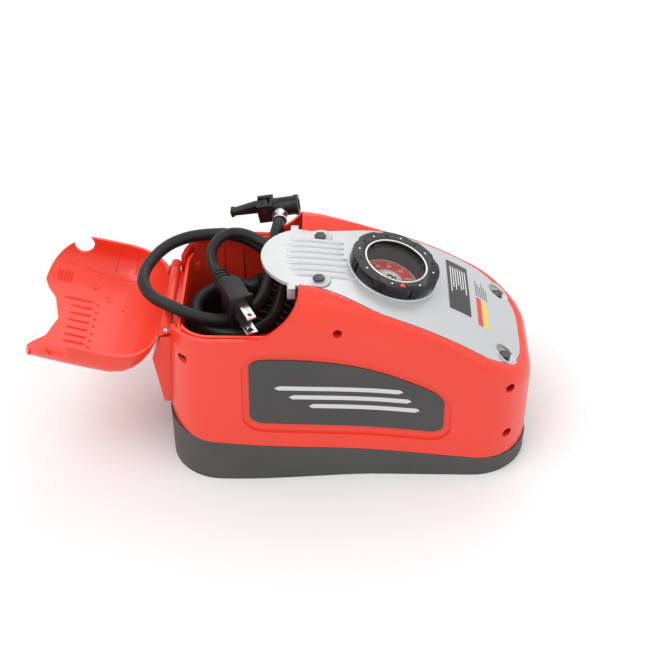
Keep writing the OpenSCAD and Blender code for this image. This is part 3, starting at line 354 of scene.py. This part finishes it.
def lathe(profile, turns, name, place=None):
    """A turned shape round local Z from (radius, height) points in millimetres, closed on the axis."""
    bm = bmesh.new()
    rings = []
    for r, z in profile:
        if r == 0:
            rings.append([bm.verts.new((0, 0, z * MM))])
        else:
            steps = [2 * math.pi * k / turns for k in range(turns)]
            rings.append([bm.verts.new((r * MM * math.cos(a), r * MM * math.sin(a), z * MM)) for a in steps])
    for a, b in zip(rings, rings[1:]):
        for k in range(turns):
            q = (k + 1) % turns
            ring = [a[k % len(a)], a[q % len(a)], b[q % len(b)], b[k % len(b)]]
            seen = [v for i, v in enumerate(ring) if v not in ring[:i]]
            if len(seen) > 2:
                bm.faces.new(seen)
    bmesh.ops.recalc_face_normals(bm, faces=bm.faces)
    if place:
        bmesh.ops.transform(bm, matrix=place, verts=bm.verts)
    return from_bmesh(bm, name)


# ---- repeated details, made with geometry nodes
def repeat(name, unit, count, finish, radius, start, place, turn=None):
    """count copies of unit round a ring of a radius, from an angle and a turn apart, each facing outwards."""
    turn = 2 * math.pi / count if turn is None else turn
    values = {"Count": count, "Radius": radius, "Start": start, "Turn": turn}
    tree = bpy.data.node_groups.new(name, "GeometryNodeTree")
    tree.interface.new_socket("Geometry", in_out="INPUT", socket_type="NodeSocketGeometry")
    for label in values:
        kind = "NodeSocketInt" if label == "Count" else "NodeSocketFloat"
        tree.interface.new_socket(label, in_out="INPUT", socket_type=kind)
    tree.interface.new_socket("Geometry", in_out="OUTPUT", socket_type="NodeSocketGeometry")
    node, link = tree.nodes.new, tree.links.new
    given, result = node("NodeGroupInput"), node("NodeGroupOutput")
    points = node("GeometryNodeMeshLine")
    points.mode = "OFFSET"
    points.inputs["Offset"].default_value = (0, 0, 0)
    link(given.outputs["Count"], points.inputs["Count"])
    index, angle = node("GeometryNodeInputIndex"), node("ShaderNodeMath")
    angle.operation = "MULTIPLY_ADD"
    link(index.outputs[0], angle.inputs[0])
    link(given.outputs["Turn"], angle.inputs[1])
    link(given.outputs["Start"], angle.inputs[2])
    cosine, sine, outwards = node("ShaderNodeMath"), node("ShaderNodeMath"), node("ShaderNodeCombineXYZ")
    cosine.operation, sine.operation = "COSINE", "SINE"
    for axis, part in enumerate((cosine, sine)):
        link(angle.outputs[0], part.inputs[0])
        link(part.outputs[0], outwards.inputs[axis])
    reach = node("ShaderNodeVectorMath")
    reach.operation = "SCALE"
    link(outwards.outputs[0], reach.inputs[0])
    link(given.outputs["Radius"], reach.inputs["Scale"])
    ring = node("GeometryNodeSetPosition")
    link(points.outputs[0], ring.inputs["Geometry"])
    link(reach.outputs[0], ring.inputs["Position"])
    facing, copies = node("ShaderNodeCombineXYZ"), node("GeometryNodeInstanceOnPoints")
    link(angle.outputs[0], facing.inputs[2])
    link(ring.outputs[0], copies.inputs["Points"])
    link(given.outputs["Geometry"], copies.inputs["Instance"])
    link(facing.outputs[0], copies.inputs["Rotation"])
    solid, coated = node("GeometryNodeRealizeInstances"), node("GeometryNodeSetMaterial")
    coated.inputs["Material"].default_value = finish
    link(copies.outputs[0], solid.inputs[0])
    link(solid.outputs[0], coated.inputs["Geometry"])
    link(coated.outputs[0], result.inputs[0])
    ob = temp(unit)
    mod = ob.modifiers.new(name, "NODES")
    mod.node_group = tree
    for item in tree.interface.items_tree:
        if item.in_out == "INPUT" and item.name in values:
            mod[item.identifier] = values[item.name]
    mesh = settle(ob)
    mesh.transform(place)
    return mesh


# ---- hose and power cord, laid along their routes
def through(points, per=8):
    """A smooth line through the points, with per steps between two of them."""
    p = [Vector(q) for q in points]
    out = []
    for i in range(len(p) - 1):
        a, b, c, d = p[max(i - 1, 0)], p[i], p[i + 1], p[min(i + 2, len(p) - 1)]
        for k in range(per):
            t = k / per
            bend = (2 * a - 5 * b + 4 * c - d) * t * t + (3 * b - a - 3 * c + d) * t ** 3
            out.append(0.5 * ((2 * b) + (c - a) * t + bend))
    out.append(p[-1])
    return out


def even(points, step):
    """The same line with evenly spaced points."""
    out, left = [points[0].copy()], step
    for a, b in zip(points, points[1:]):
        d = (b - a).length
        s = left
        while s < d:
            out.append(a.lerp(b, s / d))
            s += step
        left = s - d
    if (out[-1] - points[-1]).length < step * 0.4:
        out.pop()
    out.append(points[-1].copy())
    return out


def flex(name, points, diameter, slot):
    """A closed round tube along points, and its length."""
    curve = bpy.data.curves.new(name, "CURVE")
    curve.dimensions = "3D"
    curve.bevel_depth = diameter / 2
    curve.bevel_resolution = 6
    curve.use_fill_caps = True
    line = curve.splines.new("POLY")
    line.points.add(len(points) - 1)
    for q, p in zip(line.points, points):
        q.co = (*p, 1)
    line.use_smooth = True
    tube = settle(temp(curve))
    shade(tube, 50)
    tube.materials.clear()
    ob = put(name, tube, "body", slot)
    return ob, sum((b - a).length for a, b in zip(points, points[1:]))


def round_about(centre, radius, angle, z):
    """A point on a level circle, in millimetres."""
    return (centre[0] + radius * math.cos(angle), centre[1] + radius * math.sin(angle), z)


HOSE_D, CORD_D = 8.5 * MM, 7.5 * MM
HOSE_EXIT = [(-30.5, 34, 97), (-36, 34, 97), (-48, 33, 97.3), (-60, 30, 97.6)]
LAP_CENTRE, LAP_RADIUS, LAP_Z, LAP_RISE = (-73.4, -4), 28.2, 98, 0.1
HOSE_LOOP = [(-43.5, 3, 101.5), (-42, 16, 105), (-46, 31, 109.5), (-54, 42, 113.5), (-66, 49, 118),
             (-80, 51, 122), (-95, 50.5, 122.3), (-110, 47, 122), (-123, 39, 121), (-132, 26, 120),
             (-137, 10, 119.5), (-136, -4, 119), (-129, -15, 117.5), (-118, -22, 116.3), (-105, -26, 112.6),
             (-92, -28, 109.5), (-79, -26.5, 107.4), (-67, -20, 106.6), (-57.5, -8, 107), (-52.5, 6, 109.5),
             (-50.5, 20, 114), (-49, 34, 119.3), (-48, 48, 124), (-46.5, 58, 125.4), (-45.5, 66, 125.5)]
COIL_CENTRE, COIL_RADIUS, COIL_LOW, COIL_TOP, COIL_PITCH, POINTS_A_TURN = (-65.6, -2), 39, 47.5, 89.4, 7.6, 28
CORD_LOOP = [(-28.6, -10, 92.4), (-28.5, 2, 99), (-32, 13, 106.5), (-38, 21.5, 116.2), (-47, 27, 125.6),
             (-58, 33, 130), (-69, 37, 133), (-79, 36.5, 133.7), (-87, 30, 132.5), (-91, 21, 129.5),
             (-89.8, 13, 125.4), (-87, 8, 122.9)]
PLUG_TURN, PLUG_TAIL = math.radians(-64.5), (-85.4, 5)


def hose_points():
    """Out of the partition, one lap in the tub, a wide loop over the rear wall and up to the chuck."""
    lap = [round_about(LAP_CENTRE, LAP_RADIUS, math.radians(16 * k), LAP_Z + LAP_RISE * k)
           for k in range(4, 23)]
    return even(through([Vector(p) * MM for p in HOSE_EXIT + lap + HOSE_LOOP]), 3 * MM)


def cord_points():
    """In along the floor of the tub, five and a half turns of coil, and a loop over to the plug."""
    route = [(x, COIL_CENTRE[1] + COIL_RADIUS, COIL_LOW) for x in (-26, -30, -38, -46, -54, -62)]
    turn = 0.0
    while turn < (COIL_TOP - COIL_LOW) / COIL_PITCH:
        angle = math.pi / 2 + 2 * math.pi * turn
        route.append(round_about(COIL_CENTRE, COIL_RADIUS, angle, COIL_LOW + COIL_PITCH * turn))
        turn += 1 / POINTS_A_TURN
    route += CORD_LOOP + [round_about(PLUG_TAIL, 2, PLUG_TURN, 122.5)]
    return even(through([Vector(p) * MM for p in route], 6), 2.5 * MM)


hose_line = hose_points()
hose, hose_len = flex("air_hose", hose_line, HOSE_D, "hose_rubber")
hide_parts("hose")
cord_line = cord_points()
cord, cord_len = flex("power_cord", cord_line, CORD_D, "cord_vinyl")
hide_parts("cord_lead", "cord_coil", "cord_loop")
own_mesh(hose)

# ---- shells, with the angle above which an edge stays sharp and the width that softens it
for node, angle, edge in (("housing_near", 32, 0.0), ("housing_far", 32, 0.0), ("hinge_tail", 30, 0.6 * MM),
                          ("lid", 34, 0.0), ("cord_tub", 30, 0.0), ("top_cover", 25, 0.0),
                          ("base_tray", 30, 0.0)):
    remake(node, angle, edge)
for node in ("pressure_ring", "gauge_cup", "hose_gland", "cord_gland", "chuck_body", "chuck_lever", "plug_body",
             "switch_bezel", "switch_rocker", "hose_ferrule", "plug_blades", "cover_screws", "plug_relief"):
    remake(node, 30, 0.3 * MM)

# ---- everything else keeps its CAD shape and gets its finish
for name, ob in NODES.items():
    ob.data.materials.clear()
    ob.data.materials.append(FINISH["dark_screw" if name == "lever_pin" else SLOT_OF[name]])

# ---- shape rules of the shells, shared by everything that lies on them
PARTITION_X = -20 * MM
TOP_X, TOP_R, TOP_Z, CROWN = PARTITION_X - 25 * MM, 250 * MM, 143.6 * MM, 1.5
SEAM_Z, SEAM_SLOPE, WALL_LEAN = 27.2 * MM, math.tan(math.radians(6)), math.tan(math.radians(8.1))
HINGE = Vector(JOINT["lid_hinge"]["pos_m"])
RIM_Z = HINGE.z + 11 * MM
GAUGE = Vector(JOINT["ring_turn"]["pos_m"])
GAUGE_AXIS = Vector(JOINT["ring_turn"]["axis"]).normalized()
AT_GAUGE = Matrix.Translation(GAUGE) @ Matrix.Rotation(math.atan2(GAUGE_AXIS.x, GAUGE_AXIS.z), 4, "Y")
OPEN_LID = Matrix.Translation(HINGE) @ Matrix.Rotation(math.radians(-165), 4, "Y") @ Matrix.Translation(-HINGE)


def wall_y(x, z):
    """Half the width of the shells, which widen to the rear and lean inwards."""
    t = min(1.0, max(0.0, (PARTITION_X + 55 * MM - x) / (110 * MM)))
    side = 66 * MM + 7 * MM * (t * t * (3 - 2 * t))
    return side - WALL_LEAN * (z - (SEAM_Z - SEAM_SLOPE * x))


def cover_z(x, y):
    """Height of the silver cover, a long arc with a slight crown."""
    return TOP_Z - TOP_R + math.sqrt(TOP_R ** 2 - (x - TOP_X) ** 2) - CROWN * y * y


def on_cover(x0, x1, y0, y1, lift, thick, steps=1, across=8):
    """A thin patch lying on the silver cover, in millimetres."""
    bm = bmesh.new()
    grids = []
    for height in (lift + thick, lift):
        rows = []
        for i in range(steps + 1):
            x = lerp(x0, x1, i / steps) * MM
            ys = [lerp(y0, y1, k / across) * MM for k in range(across + 1)]
            rows.append([bm.verts.new((x, y, cover_z(x, y) + height * MM)) for y in ys])
        grids.append(rows)
    for rows in grids:
        for a, b in zip(rows, rows[1:]):
            for k in range(across):
                bm.faces.new((a[k], b[k], b[k + 1], a[k + 1]))
    top, low = grids
    rim = [(0, k) for k in range(across)] + [(i, across) for i in range(steps)]
    rim += [(steps, k) for k in range(across, 0, -1)] + [(i, 0) for i in range(steps, 0, -1)]
    for (i, k), (p, q) in zip(rim, rim[1:] + rim[:1]):
        bm.faces.new((top[i][k], top[p][q], low[p][q], low[i][k]))
    bmesh.ops.recalc_face_normals(bm, faces=bm.faces)
    return from_bmesh(bm, "patch")


# ---- helpers that lay small shapes on a finished surface
def surface(node, place=Matrix()):
    """A ray target made from a part's own mesh."""
    bm = bmesh.new()
    bm.from_mesh(NODES[node].data)
    bm.transform(place @ NODES[node].matrix_world)
    return BVHTree.FromBMesh(bm)


def lay(target, x, y, z, up):
    """The height at which a ray from a point along z meets the surface, or None."""
    hit = target.ray_cast(Vector((x, y, z)), Vector((0, 0, 1 if up else -1)))[0]
    return hit.z if hit else None


def bar_on(target, start, end, wide, tall, from_z, up, steps=20, round_end=0.12, sink=0.5):
    """A half-round bar between two points of a surface, standing out of it towards the ray's start."""
    rows = []
    out = -1 if up else 1
    last = None
    side = Vector((start[1] - end[1], end[0] - start[0])).normalized()
    for i in range(steps + 1):
        t = i / steps
        x, y = lerp(start[0], end[0], t) * MM, lerp(start[1], end[1], t) * MM
        z = lay(target, x, y, from_z, up)
        z = last if z is None else z
        if z is None:
            continue
        last = z
        rise = math.sqrt(max(0.0, 1 - max(0.0, 1 - min(t, 1 - t) / round_end) ** 2))
        half, high = wide / 2 * MM * max(0.12, rise), tall * MM * rise
        row = []
        for k in range(9):
            a = math.pi * k / 8
            off = side * half * math.cos(a)
            row.append(Vector((x + off.x, y + off.y, z + out * (high * math.sin(a) - sink * MM))))
        rows.append(row)
    return grid_mesh(rows, "bar", close=True)


# ---- silver cover: ridges on the tongue, side tabs, screw pockets, seat lip, strips and rating plate
COVER = surface("top_cover")
ABOVE = 170 * MM
TAB_X, TAB_Y = (-36, -30.5), 35.6
FRONT_SCREW, REAR_SCREW = (112.5, 33), (-14.8, 24)


def cover_ridges():
    """Seven soft ridges that run forward from the rounded end of the tongue."""
    lines = [((-36, 17.5), (2, 18.5)), ((-38.5, 11), (2, 12.5)), ((-39, 4.5), (2, 6.3)), ((-39, -2), (4, 0.2)),
             ((-38.5, -8.5), (6, -6)), ((-36.5, -14.5), (8, -12)), ((-33, -20), (11, -18))]
    return join([bar_on(COVER, a, b, 4.2, 1.7, ABOVE, False, 24, 0.16, 0.4) for a, b in lines], "cover_ridges")


def side_tabs():
    """The two tabs of the tongue, each with a flange turned down into the bay."""
    top = cover_z(-33 * MM, 28 * MM) / MM
    meshes = []
    for m in (-1, 1):
        for inner, low, high in ((27, top - 1.6, top - 0.2), (34.2, top - 9, top - 0.3)):
            near, far = sorted((m * inner, m * TAB_Y))
            meshes.append(box_mesh((TAB_X[0], near, low), (TAB_X[1], far, high), "tab", 0.4))
    return join(meshes, "side_tabs")


def screw_pockets():
    """Deep cups round the front screws and raised collars round the rear ones."""
    cup = [(0, -5.2), (4.6, -5.1), (5.4, -4.6), (7.6, -0.2), (8.4, 0.32), (9.2, 0.1), (9.4, -0.6)]
    collar = [(3.0, 0.15), (5.4, 0.2), (6.2, 0.75), (7.0, 0.7), (7.6, -0.2)]
    meshes = []
    for profile, (sx, sy), deep in ((cup, FRONT_SCREW, True), (collar, REAR_SCREW, False)):
        for m in (1, -1):
            x, y = sx * MM, m * sy * MM
            place = Matrix.Translation((x, y, cover_z(x, y)))
            if deep:
                lean = Matrix.Rotation(-math.asin((TOP_X - x) / TOP_R), 4, "Y")
                place = place @ lean @ Matrix.Scale(1.12, 4, Vector((1, 0, 0)))
            meshes.append(lathe(profile, 40, "pocket", place))
    return join(meshes, "screw_pockets")


def plate_lines():
    """Rows of small pale bars of different lengths on the rating plate."""
    meshes = []
    for i, length in enumerate((30, 22, 26, 18, 24, 20, 27)):
        x, end = 76 + i * 1.75, 31
        meshes.append(on_cover(x, x + 0.7, end - length - (2 if i % 2 else 0), end, 0.5, 0.06))
    return join(meshes, "plate_lines")


def small_rows():
    """Thin grey lines beside the two strips."""
    xs = (94.4, 95.9, 97.4, 98.9, 100.4, 101.9)
    rows = [on_cover(x, x + 0.45, 10.5, 29 - (i % 3) * 3, 0.03, 0.05, across=6) for i, x in enumerate(xs)]
    return join(rows, "small_rows")


SEAT_LIP = [(30.9, -9.4), (31.6, -9.2), (31.9, -8.7), (31.5, -8.25), (30.9, -8.2)]
put("cover_ridges", cover_ridges(), "body", "silver_cover", smooth=70)
put("gauge_seat_lip", lathe(SEAT_LIP, 96, "lip", AT_GAUGE), "body", "silver_cover", smooth=60)
put("side_tabs", side_tabs(), "body", "silver_cover", smooth=40)
put("screw_pockets", screw_pockets(), "body", "silver_cover", smooth=50)
put("plate_lines", plate_lines(), "body", "silver_cover", WHITE_MARK)
put("red_strip", on_cover(94.2, 97.4, -20.5, 8.5, 0.03, 0.1, steps=2), "body", "red_mark")
put("yellow_strip", on_cover(98.2, 101.2, -20.5, 8, 0.03, 0.1, steps=2), "body", "silver_cover", YELLOW_MARK)
put("small_rows", small_rows(), "body", "silver_cover", FINISH["label_grey"])


# ---- side panels: pale speed lines on both sides
def side_marks(m):
    """Three slanting lines with pointed ends on one side panel."""
    meshes = []
    tall, droop, slant, inset = 3.2, 0.09, 0.35, 0.58 * MM
    for x0, x1, z0 in ((-46, 44, 75.5), (-36, 50, 68.5), (-22, 56, 61.5)):
        rows = []
        for i in range(31):
            t = i / 30
            point = 1 - min(1, min(t, 1 - t) * (x1 - x0) / (tall / 2))
            half = tall / 2 * math.sqrt(max(0.0, 1 - point ** 2))
            row = []
            for k in (-1, -0.5, 0, 0.5, 1):
                z = z0 - droop * lerp(x0, x1, t) + k * max(0.03, half)
                x = (lerp(x0, x1, t) + slant * (z - z0)) * MM
                row.append(Vector((x, m * (wall_y(x, z * MM) - inset), z * MM)))
            rows.append(row)
        ob = temp(grid_mesh(rows, "mark"))
        mod = ob.modifiers.new("thick", "SOLIDIFY")
        mod.thickness, mod.offset = 0.12 * MM, 0
        meshes.append(settle(ob))
    return join(meshes, "marks")


put("speed_lines_near", side_marks(-1), "body", "label_grey", SILVER_MARK)
put("speed_lines_far", side_marks(1), "body", "label_grey", SILVER_MARK)

# ---- gauge: dial with a red band, ticks and numbers, bright rim, studs and grips on the ring
DIAL = -17.0                      # level of the dial's face on the gauge axis, in millimetres
FIRST_MARK, MARK_TURN = math.radians(235), math.radians(-290) / 40
STUD_RING, GRIP_RING = 26.4 * MM, 29.9 * MM


def dial_disc(r0, r1):
    """A thin flat ring printed on the dial."""
    z, thick, steps = DIAL + 0.02, 0.12, 96
    section = ((r0, z), (r1, z), (r1, z + thick), (r0, z + thick))
    bm = bmesh.new()
    rows = []
    for i in range(steps + 1):
        a = math.radians(360 * i / steps)
        rows.append([bm.verts.new((r * MM * math.cos(a), r * MM * math.sin(a), h * MM)) for r, h in section])
    for a, b in zip(rows, rows[1:]):
        for k in range(4):
            bm.faces.new((a[k], a[(k + 1) % 4], b[(k + 1) % 4], b[k]))
    bmesh.ops.remove_doubles(bm, verts=bm.verts, dist=1e-7)
    bmesh.ops.recalc_face_normals(bm, faces=bm.faces)
    bmesh.ops.transform(bm, matrix=AT_GAUGE, verts=bm.verts)
    return from_bmesh(bm, "disc")


def dial_ticks(name, long, wide, thick, count, radius, turn, finish):
    """A ring of ticks on the dial."""
    unit = box_mesh((-long / 2, -wide / 2, DIAL + 0.1), (long / 2, wide / 2, DIAL + 0.1 + thick), "tick")
    ring = repeat(name, unit, count, finish, radius * MM, FIRST_MARK, AT_GAUGE, turn)
    put(name, ring, "body", "dial_print")


def dial_numbers():
    """Numbers from nought in twenties, beside every fifth mark."""
    meshes = []
    radius = 13.6 * MM
    for i in range(9):
        data = bpy.data.curves.new("number", "FONT")
        data.body = str(i * 20)
        data.size, data.align_x, data.align_y, data.extrude = 3.0 * MM, "CENTER", "CENTER", 0.06 * MM
        mesh = settle(temp(data))
        a = FIRST_MARK + MARK_TURN * 5 * i
        spot = (radius * math.cos(a), radius * math.sin(a), (DIAL + 0.2) * MM)
        mesh.transform(AT_GAUGE @ Matrix.Translation(spot))
        mesh.materials.clear()
        meshes.append(mesh)
    return join(meshes, "dial_numbers")


def ring_detail(name, profile, turns, count, finish, radius, start, drop=0.0):
    """Turned studs, cups or grips round the pressure ring."""
    unit = lathe(profile, turns, "unit")
    unit.transform(Matrix.Translation((0, 0, drop)))
    ring = repeat(name, unit, count, finish, radius, math.radians(start), AT_GAUGE)
    put(name, ring, "ring", "ring_plastic", smooth=50)


put("dial_red_band", dial_disc(9.6, 19.6), "body", "red_mark")
put("dial_centre", dial_disc(2.6, 9.4), "body", "dial_print")
dial_ticks("dial_fine_ticks", 1.8, 0.2, 0.14, 41, 18.2, MARK_TURN, WHITE_MARK)
dial_ticks("dial_long_ticks", 3.0, 0.4, 0.16, 9, 17.6, MARK_TURN * 5, WHITE_MARK)
dial_ticks("dial_inner_ticks", 1.8, 0.2, 0.14, 31, 8.3, MARK_TURN * 4 / 3, FINISH["needle"])
put("dial_numbers", dial_numbers(), "body", "dial_print", WHITE_MARK)
RIM = [(20.5, -3.4), (20.5, -1.0), (21.0, 0.0), (21.9, 0.35), (22.5, 0.0), (22.6, -1.0), (22.4, -3.4)]
put("gauge_bright_rim", lathe(RIM, 96, "rim", AT_GAUGE), "body", "bright_nickel", smooth=60)
STUD = [(0, 0.45), (0.5, 0.38), (0.72, 0.1), (0.75, -0.2)]
ring_detail("ring_studs", STUD, 16, 8, WHITE_MARK, STUD_RING, -8)
CUP = [(0.8, 0.3), (1.1, 0.35), (1.5, 0.3), (1.7, 0.0)]
ring_detail("ring_stud_cups", CUP, 20, 8, FINISH["ring_plastic"], STUD_RING, 14)
GRIP = [(0, 0.8), (0.8, 0.7), (1.0, 0.0), (1.0, -5.2), (0, -5.6)]
ring_detail("ring_grips", GRIP, 12, 40, FINISH["ring_plastic"], GRIP_RING, 4.5, -1.4 * MM)

# ---- inside of the lid, drawn shut and then swung open with it
LID = surface("lid", OPEN_LID.inverted())
HOLLOW = RIM_Z + MM
COMB_Z, WALL_Z = 86, 88           # heights in the open lid at which its details are placed


def shut(x, y, z=WALL_Z):
    """A point of the open lid, in millimetres, carried back to the shut lid."""
    p = OPEN_LID.inverted() @ Vector((x * MM, y * MM, z * MM))
    return p.x / MM, p.y / MM


def lid_bar(a, b, wide, tall, steps=20, **ends):
    return bar_on(LID, a, b, wide, tall, HOLLOW, True, steps, **ends)


def lid_details():
    """Comb of seven bars, corner rails, wall ribs, latch teeth and ejector marks."""
    meshes = []
    for i, y in enumerate((23.0, 15.5, 8.0, 0.4, -7.7, -15.6, -22.9)):
        start, end = shut(-201 if i == 0 else -194, y, COMB_Z), shut(-176.5, y - 1.2, COMB_Z)
        meshes.append(lid_bar(end, start, 1.5, 1.9, round_end=0.18, sink=0.8))
        tooth = (end[0] - 1.2, end[1] - 2.2), (end[0] - 3.4, end[1] - 3.0)
        meshes.append(lid_bar(*tooth, 0.9, 1.6, 8))
    for a, b in (((-208, 52), (-141, 45)), ((-206, -47), (-150, -45))):
        meshes.append(lid_bar(shut(*a), shut(*b), 1.1, 0.9, 36, round_end=0.04))
    ribs = [(x, 50, 60, 1.0, 1.6) for x in (-166, -151)]
    ribs += [(x, -48, -58, 1.0, 1.6) for x in (-198, -183, -168, -154)]
    for k in range(5):
        ribs += [(-212 + 2.7 * k, -44, -54, 1.0, 2.6), (-207 + 2.4 * k, 36, 46, 0.9, 1.8)]
    for x, y0, y1, wide, tall in ribs:
        meshes.append(lid_bar(shut(x, y0), shut(x, y1), wide, tall, 10))
    for spot in ((-166, 28), (-152, 20), (-160, -6), (-150, -30), (-178, 38), (-172, -36)):
        x, y = (v * MM for v in shut(*spot))
        z = lay(LID, x, y, HOLLOW, True)
        if z:
            mark = [(0, -0.12), (2.9, -0.12), (3.2, 0.0), (3.2, 0.5)]
            meshes.append(lathe(mark, 28, "mark", Matrix.Translation((x, y, z))))
    whole = join(meshes, "lid_details")
    whole.transform(OPEN_LID)
    return whole


put("lid_details", lid_details(), "lid", "red_shell", smooth=50)


# ---- table and light
LAMPS = (("key", (-0.55, -0.35, 1.25), 0.8, 6), ("fill", (0.9, -0.6, 0.9), 1.1, 2.2),
         ("back", (0.2, 0.9, 1.0), 0.9, 3))   # name, place, size in metres, watts
AIM = Vector((0, 0, 0.08))


def set_stage():
    bm = bmesh.new()
    bmesh.ops.create_grid(bm, x_segments=1, y_segments=1, size=4)
    floor = bpy.data.objects.new("table", from_bmesh(bm, "table"))
    bpy.context.scene.collection.objects.link(floor)
    m, t, b = new_finish("table_white", (0.86, 0.86, 0.86), 0.6)
    t.links.new(spread(t, noise(t, 30, 4, 0.6), 0.55, 0.65), b.inputs["Roughness"])
    floor.data.materials.append(m)
    world = bpy.data.worlds.new("studio")
    world.use_nodes = True
    sky = world.node_tree.nodes["Background"]
    sky.inputs["Color"].default_value = (1, 1, 1, 1)
    sky.inputs["Strength"].default_value = 0.9
    bpy.context.scene.world = world
    bpy.context.scene.view_settings.view_transform = "Standard"
    for name, at, size, power in LAMPS:
        data = bpy.data.lights.new(name, "AREA")
        data.size, data.energy = size, power
        lamp = bpy.data.objects.new(name, data)
        bpy.context.scene.collection.objects.link(lamp)
        lamp.location = at
        lamp.rotation_euler = (AIM - Vector(at)).to_track_quat("-Z", "Y").to_euler()


set_stage()
